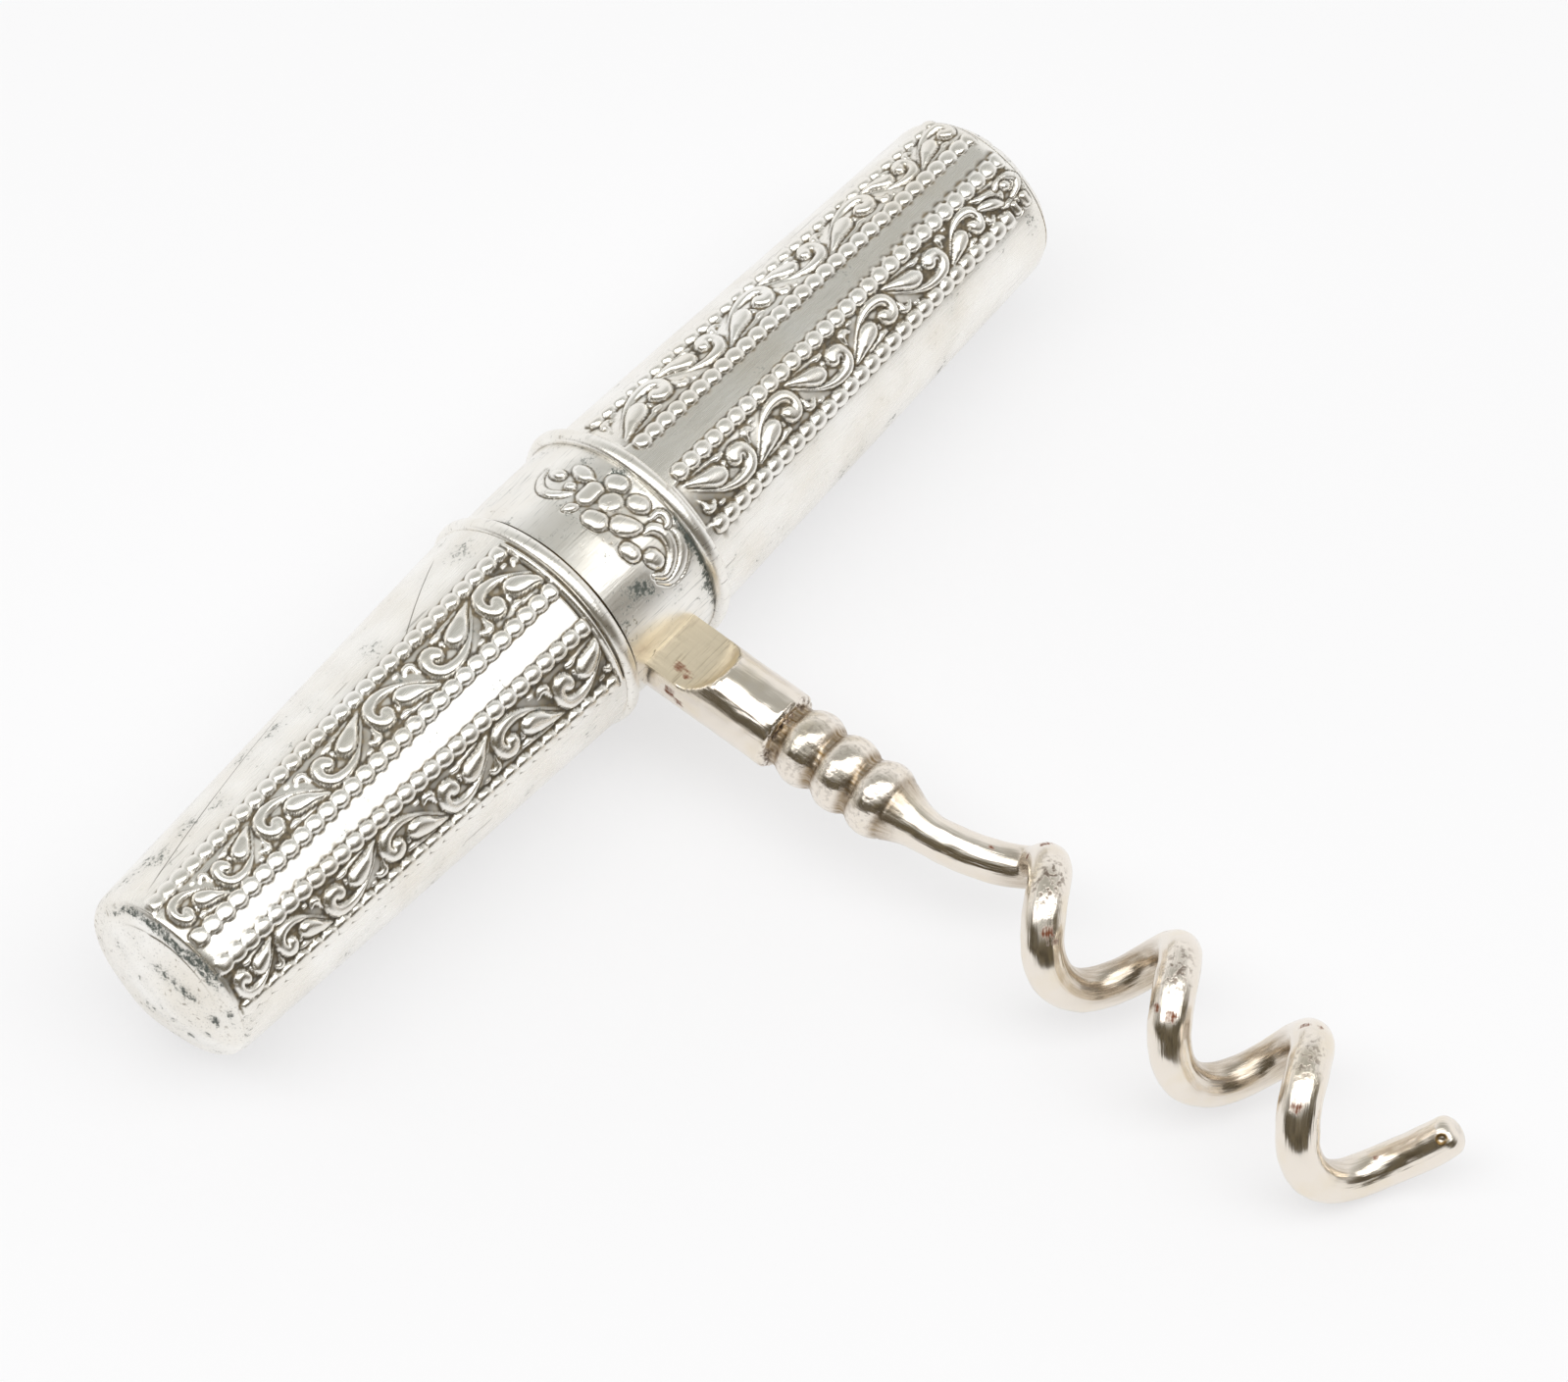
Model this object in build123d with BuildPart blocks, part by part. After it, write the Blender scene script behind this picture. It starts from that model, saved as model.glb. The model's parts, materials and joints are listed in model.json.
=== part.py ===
from build123d import *
import os
from math import asin, atan2, cos, degrees, hypot, pi, radians, sin, sqrt

# Folding pocket corkscrew with a two-piece silver case, set up as a T and lying on a table.
#
# Millimetres, +Z up. The case axis is parallel to X with the pull-off half towards -X, and the
# worm points towards -Y. The origin is on the table, below the middle of the object's outline.
# The case is laid out from the middle of its collar, and the worm from its hinge pin.

os.makedirs("parts", exist_ok=True)

# Case, measured along its axis
case_length = 80.0
collar_width = 7.6
left_half_length = 35.6
rim_width = 1.1
left_gap = 0.25

# Case, measured from its axis
rim_radius = 8.1
rim_bead_height = 0.55
left_rim_stand = 0.3
right_rim_stand = 0.7
collar_step = 0.6
left_taper = 1.55
right_taper = 1.3
sheet_thickness = 0.5

# Domed end caps
cap_side = 0.4
cap_rounding = 1.3
cap_crown_radius = 16.0
cap_wall = 1.0
cap_lip_length = 1.5

# Tubes inside the case
collar_wall = 0.9
spigot_wall = 1.0
spigot_reach = 4.4
spigot_tail = 2.1
sleeve_wall = 0.55
lining_wall = 0.35
lining_length = 5.2
solder_gap = 0.05
push_fit_gap = 0.05
sleeve_end_gap = 0.1

# Hinge block, its pin and its stop
slide_clearance = 0.05
block_left_reach = 4.3
block_right_reach = 5.8
pin_radius = 0.85
pin_running_gap = 0.05
pin_press_gap = 0.02
pin_end_room = 0.25
stop_width = 1.2
stop_wall = 0.75
stop_seat_gap = 0.1

# Shank of the worm, measured from the hinge pin
pivot_offset = -0.45
shank_radius = 2.6
shank_end = 16.8
shoulder_rounding = 0.3
tang_thickness = 2.2
tang_reach = 9.9
tang_runout_radius = 1.8
fork_gap = 0.05
heel_gap = 0.15
slot_gap = 0.15
slot_right = 2.6

# Turned beads, the taper and the wire
bead_first = 18.6
bead_pitch = 2.72
bead_radius = 2.5
neck_radius = 2.05
taper_end = 28.3
wire_radius = 1.33
wire_root = 27.5

# Coil, a right-handed helix that widens by its flare in each turn, with a tip that opens a little
coil_start = 34.27
coil_root_radius = 2.62
coil_flare = 0.26
coil_pitch = 9.75
tip_advance = 3.25
tip_spread = 4.15
tip_rise = -0.15
tip_chamfer = 0.4

# Counts and shares
bead_count = 3
coil_quarters = 11
taper_waist_share = 0.42
taper_waist_radius_share = 0.3
tip_heading_shares = (0.6, 0.65, 0.47)

# Radii that follow each other from the rims inwards, through the nested tubes
left_mouth_radius = rim_radius - left_rim_stand
left_end_radius = left_mouth_radius - left_taper
right_mouth_radius = rim_radius - right_rim_stand
right_end_radius = right_mouth_radius - right_taper
collar_radius = rim_radius - collar_step
collar_bore = collar_radius - collar_wall
spigot_radius = collar_bore - solder_gap
spigot_bore = spigot_radius - spigot_wall
sleeve_radius = spigot_bore - solder_gap
sleeve_bore = sleeve_radius - sleeve_wall
block_radius = sleeve_bore - slide_clearance
stop_radius = sleeve_bore - pin_press_gap
lining_bore = spigot_radius + push_fit_gap
lining_radius = lining_bore + lining_wall


def cap_depth(radius):
    """Depth of a cap's crown and its rounded shoulder."""
    return cap_crown_radius - sqrt((cap_crown_radius - cap_rounding) ** 2 - (radius - cap_rounding) ** 2)


# Places along the case, from the middle of the collar
half_collar = collar_width / 2
shell_start = half_collar + rim_width
left_end = half_collar + left_half_length
left_cap_start = left_end - cap_depth(left_end_radius) - cap_side
right_end = case_length - left_end
right_cap_start = right_end - cap_depth(right_end_radius) - cap_side
spigot_end = half_collar + spigot_reach
sleeve_end = right_cap_start - cap_lip_length - sleeve_end_gap
block_left = pivot_offset - block_left_reach
stop_right = block_left - stop_seat_gap
stop_left = stop_right - stop_width

# Widths across the hinge, square to the plane that the worm folds in
fork_width = tang_thickness + 2 * fork_gap
slot_width = tang_thickness + 2 * slot_gap
pin_length = 2 * (block_radius - pin_end_room)

# The worm leans down until the underside of its coil rests on the table
coil_length = coil_quarters * coil_pitch / 4
coil_end = coil_start + coil_length
coil_outer_radius = coil_root_radius + coil_quarters * coil_flare / 4 + wire_radius
pivot_to_contact = hypot(coil_end, coil_outer_radius)
droop = asin(rim_radius / pivot_to_contact) - atan2(coil_outer_radius, coil_end)

# Middle of the outline on the table
tip_distance = coil_end + tip_advance
front_reach = tip_distance * cos(droop) + wire_radius
collar_x = (left_end - right_end) / 2
case_y = (front_reach - rim_radius) / 2

# The case lies along its plane's X, and the worm folds in that plane
case = Plane((collar_x, case_y, rim_radius), x_dir=(1, 0, 0), z_dir=(0, -sin(droop), cos(droop)))
case_axis = Axis(case.origin, case.x_dir)
pivot = case.from_local_coords(Vector(pivot_offset, 0, 0))
worm_direction = case.y_dir * -1
worm_axis = Axis(pivot, worm_direction)

# The hinge plane has the case's directions, and the other two look along the worm and across it
hinge = Plane(pivot, x_dir=case.x_dir, z_dir=case.z_dir)
coil = Plane(pivot, x_dir=case.x_dir, z_dir=worm_direction)
profile = Plane(pivot, x_dir=worm_direction, z_dir=case.x_dir)


def wall(start, end, bore, radius):
    """Section of a straight tube on the case axis."""
    Polygon((start, bore), (end, bore), (end, radius), (start, radius), align=None)


def tapered_wall(start, end, start_radius, end_radius):
    """Section of a case half's sheet wall, from its rim to its cap."""
    Polygon(
        (start, start_radius - sheet_thickness),
        (end, end_radius - sheet_thickness),
        (end, end_radius),
        (start, start_radius),
        align=None,
    )


def rim_section(inner_face, outer_face, bore):
    """Section of the ring at a case half's mouth: two flat faces and a beaded edge."""
    bead_base = rim_radius - rim_bead_height
    with BuildLine() as outline:
        Polyline((inner_face, bead_base), (inner_face, bore), (outer_face, bore), (outer_face, bead_base))
        ThreePointArc(
            (outer_face, bead_base),
            ((inner_face + outer_face) / 2, rim_radius),
            (inner_face, bead_base),
        )
    make_face(outline.edges())


def cap_section(towards, joint, end, radius):
    """Section of a domed cap; towards is -1 at the left end and 1 at the right end."""
    centre_drop = radius - cap_rounding
    centre_span = cap_crown_radius - cap_depth(radius)
    crown_centre = end - cap_crown_radius
    shoulder_x = crown_centre + centre_span
    reach_share = cap_crown_radius / (cap_crown_radius - cap_rounding)
    inner_share = (cap_crown_radius - cap_wall) / (cap_crown_radius - cap_rounding)
    outer_meeting = (towards * (crown_centre + centre_span * reach_share), centre_drop * reach_share)
    inner_meeting = (towards * (crown_centre + centre_span * inner_share), centre_drop * inner_share)
    lip_radius = radius - sheet_thickness - solder_gap
    lip_start = joint - cap_lip_length
    bore = radius - cap_wall
    with BuildLine() as outline:
        Polyline(
            (towards * shoulder_x, bore),
            (towards * lip_start, bore),
            (towards * lip_start, lip_radius),
            (towards * joint, lip_radius),
            (towards * joint, radius),
            (towards * shoulder_x, radius),
        )
        RadiusArc((towards * shoulder_x, radius), outer_meeting, towards * cap_rounding)
        RadiusArc(outer_meeting, (towards * end, 0), towards * cap_crown_radius)
        Line((towards * end, 0), (towards * (end - cap_wall), 0))
        RadiusArc((towards * (end - cap_wall), 0), inner_meeting, -towards * (cap_crown_radius - cap_wall))
        RadiusArc(inner_meeting, (towards * shoulder_x, bore), -towards * (cap_rounding - cap_wall))
    make_face(outline.edges())


def cut_slot(left):
    """Cut the worm's slot into the side that faces the worm, open at the left."""
    length = slot_right - left
    with BuildSketch(case) as opening:
        with Locations((slot_right - length / 2, -rim_radius / 2)):
            Rectangle(length, rim_radius)
    extrude(opening.sketch, amount=slot_width / 2, both=True, mode=Mode.SUBTRACT)


def bend(start, end, heading):
    """Arc to the end that leaves the start along its heading."""
    chord = end - start
    lead = (heading + chord.normalized()).normalized()
    ThreePointArc(start, start + lead * (chord.length / 2 / lead.dot(chord.normalized())), end)


def double_bend(start, end):
    """Two arcs, in line with each other and with the headings at both ends."""
    (first, first_heading), (last, last_heading) = start, end
    chord = last - first
    along = chord.dot(first_heading + last_heading)
    spread = 2 * (1 - first_heading.dot(last_heading))
    pull = (sqrt(along**2 + spread * chord.dot(chord)) - along) / spread
    middle = (first + last + (first_heading - last_heading) * pull) / 2
    bend(first, middle, first_heading)
    bend(middle, last, (middle - first - first_heading * pull).normalized())


def station(place, heading):
    """Point and heading of the wire, from their coordinates across and along the coil."""
    point = coil.from_local_coords(Vector(*place))
    return point, (coil.from_local_coords(Vector(*place) + Vector(*heading)) - point).normalized()


def coil_station(quarter):
    """Point and heading of the wire after some quarter turns of the coil."""
    turn = quarter * pi / 2
    lead = coil_pitch / (2 * pi)
    widening = coil_flare / (2 * pi)
    radius = coil_root_radius + widening * turn
    return station(
        (radius * cos(turn), radius * sin(turn), coil_start + lead * turn),
        (widening * cos(turn) - radius * sin(turn), widening * sin(turn) + radius * cos(turn), lead),
    )


# Left half of the case, which pulls off the spigot
with BuildPart() as left_shell:
    with BuildSketch(case):
        tapered_wall(-shell_start, -left_cap_start, left_mouth_radius, left_end_radius)
    revolve(axis=case_axis)
left_shell.part.label = "left_shell"

with BuildPart() as left_rim_ring:
    with BuildSketch(case):
        rim_section(-half_collar, -shell_start, lining_radius + solder_gap)
    revolve(axis=case_axis)
left_rim_ring.part.label = "left_rim_ring"

with BuildPart() as left_end_cap:
    with BuildSketch(case):
        cap_section(-1, left_cap_start, left_end, left_end_radius)
    revolve(axis=case_axis)
left_end_cap.part.label = "left_end_cap"

with BuildPart() as socket_lining:
    with BuildSketch(case):
        wall(-half_collar, -half_collar - lining_length, lining_bore, lining_radius)
    revolve(axis=case_axis)
socket_lining.part.label = "socket_lining"

# Right half of the case, fixed to the collar
with BuildPart() as right_shell:
    with BuildSketch(case):
        tapered_wall(shell_start, right_cap_start, right_mouth_radius, right_end_radius)
    revolve(axis=case_axis)
right_shell.part.label = "right_shell"

with BuildPart() as right_rim_ring:
    with BuildSketch(case):
        rim_section(half_collar, shell_start, collar_bore)
    revolve(axis=case_axis)
right_rim_ring.part.label = "right_rim_ring"

with BuildPart() as right_end_cap:
    with BuildSketch(case):
        cap_section(1, right_cap_start, right_end, right_end_radius)
    revolve(axis=case_axis)
right_end_cap.part.label = "right_end_cap"

# Collar, and the tubes that carry it and the hinge block
with BuildPart() as collar_band:
    with BuildSketch(case):
        wall(left_gap - half_collar, half_collar, collar_bore, collar_radius)
    revolve(axis=case_axis)
    cut_slot(-half_collar)
collar_band.part.label = "collar_band"

with BuildPart() as spigot_tube:
    with BuildSketch(case):
        wall(-spigot_end, half_collar + spigot_tail, spigot_bore, spigot_radius)
    revolve(axis=case_axis)
    cut_slot(-spigot_end)
spigot_tube.part.label = "spigot_tube"

with BuildPart() as guide_sleeve:
    with BuildSketch(case):
        wall(-spigot_end, sleeve_end, sleeve_bore, sleeve_radius)
    revolve(axis=case_axis)
    cut_slot(-spigot_end)
guide_sleeve.part.label = "guide_sleeve"

# Ring, split over the slot, that keeps the hinge block in the sleeve
with BuildPart() as stop_ring:
    with BuildSketch(case):
        wall(stop_left, stop_right, stop_radius - stop_wall, stop_radius)
    revolve(axis=case_axis)
    cut_slot(stop_left)
stop_ring.part.label = "stop_ring"

# Hinge block: a plug with a fork for the tang, open on both sides and to the left
with BuildPart() as hinge_block:
    with BuildSketch(case):
        wall(block_left, pivot_offset + block_right_reach, 0, block_radius)
    revolve(axis=case_axis)
    fork_reach = shank_radius + heel_gap
    with BuildSketch(hinge):
        with Locations(((fork_reach - block_left_reach) / 2, 0)):
            Rectangle(block_left_reach + fork_reach, 2 * block_radius)
    extrude(amount=fork_width / 2, both=True, mode=Mode.SUBTRACT)
    with BuildSketch(hinge):
        Circle(pin_radius + pin_press_gap)
    extrude(amount=block_radius, both=True, mode=Mode.SUBTRACT)
hinge_block.part.label = "hinge_block"

with BuildPart() as pivot_pin:
    with BuildSketch(hinge):
        Circle(pin_radius)
    extrude(amount=pin_length / 2, both=True)
pivot_pin.part.label = "pivot_pin"

# Worm: tang, shank, three turned beads, taper and coil, forged as one piece
half_tang = tang_thickness / 2
shank_start = -shank_radius
runout_end = tang_reach + sqrt(tang_runout_radius**2 - (half_tang + tang_runout_radius - shank_radius) ** 2)
first_neck = bead_first - bead_pitch / 2
taper_start = first_neck + bead_count * bead_pitch
taper_waist = taper_start + taper_waist_share * (taper_end - taper_start)
taper_waist_radius = wire_radius + taper_waist_radius_share * (neck_radius - wire_radius)
root_station = station((0, 0, wire_root), (0, 0, 1))
tip_station = station((tip_spread, tip_rise, tip_distance), tip_heading_shares)
coil_stations = [coil_station(quarter) for quarter in range(coil_quarters + 1)]
wire_stations = [root_station, *coil_stations, tip_station]

with BuildPart() as worm:
    with BuildSketch(profile):
        with BuildLine():
            Polyline(
                (0, 0),
                (0, shank_radius),
                (shank_end - shoulder_rounding, shank_radius),
                (shank_end, shank_radius - shoulder_rounding),
                (shank_end, neck_radius),
                (first_neck, neck_radius),
            )
            for number in range(bead_count):
                middle = bead_first + number * bead_pitch
                ThreePointArc(
                    (middle - bead_pitch / 2, neck_radius),
                    (middle, bead_radius),
                    (middle + bead_pitch / 2, neck_radius),
                )
            ThreePointArc(
                (taper_start, neck_radius),
                (taper_waist, taper_waist_radius),
                (taper_end, wire_radius),
            )
            Polyline((taper_end, wire_radius), (taper_end, 0), (0, 0))
        make_face()
    revolve(axis=worm_axis)
    with BuildSketch(hinge):
        Circle(shank_radius)
    extrude(amount=half_tang, both=True)
    with BuildSketch(profile):
        with BuildLine():
            Line((shank_start, half_tang), (tang_reach, half_tang))
            RadiusArc((tang_reach, half_tang), (runout_end, shank_radius), -tang_runout_radius)
            Polyline(
                (runout_end, shank_radius),
                (shank_start, shank_radius),
                (shank_start, half_tang),
            )
        make_face()
        mirror(about=Plane.XZ)
    extrude(amount=shank_radius, both=True, mode=Mode.SUBTRACT)
    with BuildSketch(hinge):
        Circle(pin_radius + pin_running_gap)
    extrude(amount=half_tang, both=True, mode=Mode.SUBTRACT)
    with BuildLine():
        for start, end in zip(wire_stations, wire_stations[1:]):
            double_bend(start, end)
    with BuildSketch(Plane(root_station[0], z_dir=root_station[1])):
        Circle(wire_radius)
    sweep()
    with BuildSketch(Plane(tip_station[0], z_dir=tip_station[1])):
        Circle(wire_radius)
    extrude(amount=tip_chamfer, taper=45)
worm.part.label = "worm"

pieces = (
    left_shell,
    left_rim_ring,
    left_end_cap,
    socket_lining,
    collar_band,
    right_rim_ring,
    right_shell,
    right_end_cap,
    spigot_tube,
    guide_sleeve,
    stop_ring,
    hinge_block,
    pivot_pin,
    worm,
)
for piece in pieces:
    export_step(piece.part, f"parts/{piece.part.label}.step")
print("worm droop in degrees:", round(degrees(droop), 3))
print("worm swept volume:", round(worm.part.volume, 2))
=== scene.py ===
import json
import logging
from dataclasses import dataclass, field
from enum import Enum
from math import cos, pi, radians, sin, sqrt

import bpy
import numpy as np
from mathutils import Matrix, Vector


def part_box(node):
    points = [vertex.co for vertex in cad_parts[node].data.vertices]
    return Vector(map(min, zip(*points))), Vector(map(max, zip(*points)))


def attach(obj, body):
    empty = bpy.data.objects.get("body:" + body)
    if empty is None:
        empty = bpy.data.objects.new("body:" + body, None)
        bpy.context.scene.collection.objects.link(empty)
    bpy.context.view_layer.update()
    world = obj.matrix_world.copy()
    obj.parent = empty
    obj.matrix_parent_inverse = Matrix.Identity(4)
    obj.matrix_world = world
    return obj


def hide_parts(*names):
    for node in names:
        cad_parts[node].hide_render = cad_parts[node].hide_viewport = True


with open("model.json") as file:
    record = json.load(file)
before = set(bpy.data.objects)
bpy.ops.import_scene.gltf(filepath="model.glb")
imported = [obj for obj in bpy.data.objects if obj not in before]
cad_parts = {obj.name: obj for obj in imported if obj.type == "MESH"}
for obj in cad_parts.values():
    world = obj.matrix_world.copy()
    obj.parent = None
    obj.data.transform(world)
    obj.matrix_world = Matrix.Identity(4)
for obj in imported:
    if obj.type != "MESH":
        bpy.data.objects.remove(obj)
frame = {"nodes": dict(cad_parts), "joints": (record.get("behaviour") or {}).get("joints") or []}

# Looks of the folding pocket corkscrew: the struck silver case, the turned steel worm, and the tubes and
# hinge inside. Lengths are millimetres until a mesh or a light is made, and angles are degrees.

MM = 0.001
# pressed and rolled skins stay this far inside the CAD's, so that their waves don't leave its box
INSET = 0.03
Pair = tuple[float, float]
Triple = tuple[float, float, float]
Quad = tuple[float, float, float, float]
Grid = np.ndarray
Mesh = bpy.types.Object
Material = bpy.types.Material
Socket = bpy.types.NodeSocket
Feed = float | str | tuple | Socket
Feeds = dict[str | int, Feed]
log = logging.getLogger("corkscrew")
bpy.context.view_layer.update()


class Half(Enum):
    """Which half of the case, as the way its closed end points along the case."""

    PULL_OFF = -1
    FIXED = 1


def linear(code: str) -> Quad:
    """Turn an sRGB colour, written as "#RRGGBB", to linear RGBA."""
    parts = [int(code[i:i + 2], 16) / 255 for i in (1, 3, 5)]
    r, g, b = (p / 12.92 if p <= 0.04045 else ((p + 0.055) / 1.055) ** 2.4 for p in parts)
    return (r, g, b, 1.0)


class Wiring:
    """Nodes of one finish or of the room. Its methods add a node and give back its output. They take
    numbers, vectors, hex colours and other outputs alike."""

    def __init__(self, tree: bpy.types.NodeTree) -> None:
        """Work on a node tree."""
        self.tree = tree

    def feed(self, target: bpy.types.Node, feeds: Feeds) -> None:
        """Link or set inputs of a node.

        Args:
            target: node that gets them.
            feeds: what each input gets, by its name or number.
        """
        for key, value in feeds.items():
            if isinstance(value, Socket):
                self.tree.links.new(value, target.inputs[key])
            else:
                target.inputs[key].default_value = linear(value) if isinstance(value, str) else value

    def add(self, kind: str, feeds: Feeds, output: str | int = 0, **settings: object) -> Socket:
        """Add a shader node.

        Args:
            kind: node type, without its prefix.
            feeds: what each input gets, by its name or number.
            output: name or number of the output to give back.
            settings: properties of the node.
        Returns:
            The output.
        """
        made = self.tree.nodes.new(f"ShaderNode{kind}")
        for name, value in settings.items():
            setattr(made, name, value)
        self.feed(made, feeds)
        return made.outputs[output]

    def places(self, output: str = "Object") -> Socket:
        """Give texture coordinates."""
        return self.add("TexCoord", {}, output)

    def layer(self, name: str, output: str = "Fac") -> Socket:
        """Read a layer that the mesh carries."""
        return self.add("Attribute", {}, output, attribute_name=name)

    def times(self, first: Feed, second: Feed, clamp: bool = False) -> Socket:
        """Multiply two numbers."""
        return self.add("Math", {0: first, 1: second}, operation="MULTIPLY", use_clamp=clamp)

    def plus(self, first: Feed, second: Feed) -> Socket:
        """Add two numbers."""
        return self.add("Math", {0: first, 1: second}, operation="ADD")

    def larger(self, first: Feed, second: Feed, clamp: bool = False) -> Socket:
        """Take the larger of two numbers."""
        return self.add("Math", {0: first, 1: second}, operation="MAXIMUM", use_clamp=clamp)

    def dot(self, first: Feed, second: Feed) -> Socket:
        """Take the dot product of two vectors."""
        return self.add("VectorMath", {0: first, 1: second}, "Value", operation="DOT_PRODUCT")

    def ramp(self, value: Feed, low: float, high: float, start: float = 0.0, end: float = 1.0) -> Socket:
        """Carry a number from the range low to high over to start to end, and hold it there."""
        feeds = {"Value": value, "From Min": low, "From Max": high, "To Min": start, "To Max": end}
        return self.add("MapRange", feeds)

    def noise(self, place: Feed, size: float, detail: float = 2.0, roughness: float = 0.5) -> Socket:
        """Make noise of a size in mm."""
        feeds = {"Vector": place, "Scale": 1 / (size * MM), "Detail": detail, "Roughness": roughness}
        return self.add("TexNoise", feeds, "Fac")

    def drawn_out(self, place: Feed, turn: Triple, share: float) -> Socket:
        """Turn places, and squeeze them along x, so that noise comes out as streaks."""
        return self.add("Mapping", {"Vector": place, "Rotation": turn, "Scale": (share, 1.0, 1.0)})

    def mix(self, share: Feed, first: Feed, second: Feed) -> Socket:
        """Mix two colours, by the share of the second."""
        return self.add("Mix", {0: share, 6: first, 7: second}, 2, data_type="RGBA")

    def bump(self, height: Feed, strength: float, depth: float, under: Socket | None = None) -> Socket:
        """Bump the surface by a depth in mm, on top of another bump."""
        feeds = {"Height": height, "Strength": strength, "Distance": depth * MM}
        return self.add("Bump", feeds if under is None else feeds | {"Normal": under})


@dataclass(frozen=True)
class Finish:
    """What a surface is made of and how it has aged. Sizes of its marks are in mm."""

    name: str

    def surface(self, wire: Wiring) -> Feeds:
        """What each input of the shader gets, by its name."""
        raise NotImplementedError

    def material(self) -> Material:
        """Build the finish.

        Returns:
            The material.
        """
        made = bpy.data.materials.new(self.name)
        made.use_nodes = True
        wire = Wiring(made.node_tree)
        wire.feed(made.node_tree.nodes["Principled BSDF"], self.surface(wire))
        return made


def ease(low: float, high: float, value: Grid) -> Grid:
    """Ease from 0 at low to 1 at high, which is below low for a falling step."""
    share = np.clip((value - low) / (high - low), 0.0, 1.0)
    return share * share * (3.0 - 2.0 * share)


def between(rise: Pair, fall: Pair, value: Grid) -> Grid:
    """Ease up over one range and down over another, which has its higher end first."""
    return ease(*rise, value) * ease(*fall, value)


def signed(angle: Grid) -> Grid:
    """Bring angles to -180 to 180."""
    return (angle + 180) % 360 - 180


def patch(first: Grid, second: Grid, spot: Quad) -> Grid:
    """Soft round patch on a surface, given by its middle and half size in both coordinates."""
    return np.exp(-(((first - spot[0]) / spot[2]) ** 2) - ((second - spot[1]) / spot[3]) ** 2)


def waves(points: Grid, size: float, seed: int) -> Grid:
    """Soft uneven bumps in space, as a sum of plane waves.

    Args:
        points: places in mm, last axis x, y, z.
        size: length of a bump in mm.
        seed: picks the directions and phases.
    Returns:
        Heights of about -1 to 1.
    """
    count, least, most = 12, 0.6, 1.4
    rng = np.random.default_rng(seed)
    total = np.zeros(points.shape[:-1])
    for _ in range(count):
        way = rng.normal(size=3)
        way *= rng.uniform(least, most) * pi / size / np.linalg.norm(way)
        total += np.sin(points @ way + rng.uniform(0, 2 * pi))
    return total / sqrt(count)


def curve(start: Grid, end: Grid, leaving: Grid, arriving: Grid, share: Grid) -> Grid:
    """Run a smooth curve between two places.

    Args:
        start: place where it starts.
        end: place where it ends.
        leaving: heading at the start, as long as its pull.
        arriving: heading at the end.
        share: shares of the way, 0 to 1.
    Returns:
        A place for each share.
    """
    s = share[:, None]
    return ((2 * s**3 - 3 * s**2 + 1) * start + (s**3 - 2 * s**2 + s) * leaving
            + (3 * s**2 - 2 * s**3) * end + (s**3 - s**2) * arriving)


def clear_selection() -> None:
    """Leave nothing selected, in object mode."""
    if bpy.context.object and bpy.context.object.mode != "OBJECT":
        bpy.ops.object.mode_set(mode="OBJECT")
    bpy.ops.object.select_all(action="DESELECT")


def stitched_tube(name: str, points: Grid, layers: dict[str, Grid]) -> Mesh:
    """Wrap a grid primitive round a form and close its seam.

    The struck relief needs a vertex at each tenth of a millimetre, so the grid's vertices are placed in
    code, as a sheet is pressed on a former.

    Args:
        name: object name.
        points: places in mm, in the order round the tube, along it, xyz.
        layers: value for each point, by attribute name.
    Returns:
        The closed mesh object.
    """
    merge_metres, sharp_angle = 2e-7, 62
    around, along = points.shape[:2]
    clear_selection()
    bpy.ops.mesh.primitive_grid_add(x_subdivisions=along - 1, y_subdivisions=around - 1, size=1.0)
    made = bpy.context.object
    made.name = name
    made.data.name = name
    made.data.vertices.foreach_set("co", (points * MM).reshape(-1))
    for layer, values in layers.items():
        kind, key = ("FLOAT", "value") if values.ndim == 2 else ("FLOAT_VECTOR", "vector")
        made.data.attributes.new(layer, kind, "POINT").data.foreach_set(key, values.reshape(-1))
    made.data.update()
    bpy.ops.object.mode_set(mode="EDIT")
    bpy.ops.mesh.select_all(action="SELECT")
    bpy.ops.mesh.remove_doubles(threshold=merge_metres)
    bpy.ops.mesh.normals_make_consistent(inside=False)
    bpy.ops.object.mode_set(mode="OBJECT")
    bpy.ops.object.shade_smooth_by_angle(angle=radians(sharp_angle))
    return made


def cut_away(piece: Mesh, cutter: Mesh) -> None:
    """Cut one closed mesh out of another, and discard it.

    Args:
        piece: mesh that stays.
        cutter: mesh that is cut out of it.
    """
    cut = piece.modifiers.new(cutter.name, "BOOLEAN")
    cut.operation = "DIFFERENCE"
    cut.solver = "EXACT"
    cut.object = cutter
    clear_selection()
    bpy.context.view_layer.objects.active = piece
    bpy.ops.object.modifier_apply(modifier=cut.name)
    bpy.data.objects.remove(cutter)


def finish_piece(piece: Mesh, material: Material, body: str, nodes: tuple[str, ...]) -> None:
    """Give a piece its finish, its body and the CAD nodes that it stands for.

    Args:
        piece: finished mesh object.
        material: its finish.
        body: CAD body that it rides on.
        nodes: CAD nodes that it replaces.
    """
    piece.data.materials.clear()
    piece.data.materials.append(material)
    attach(piece, body)
    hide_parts(*nodes)
    log.info("%s: %d faces on %s", piece.name, len(piece.data.polygons), body)


def worm_axes() -> tuple[Grid, Grid, Grid]:
    """Find the worm's hinge in the record.

    Returns:
        Its middle in mm, the way down its pin, and the way that the open worm points.
    """
    joint = next(joint for joint in frame["joints"] if joint["name"] == "worm_fold")
    down = np.array(joint["axis"]) * -1
    return np.array(joint["pos_m"]) / MM, down, np.cross([1, 0, 0], down)


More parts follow.
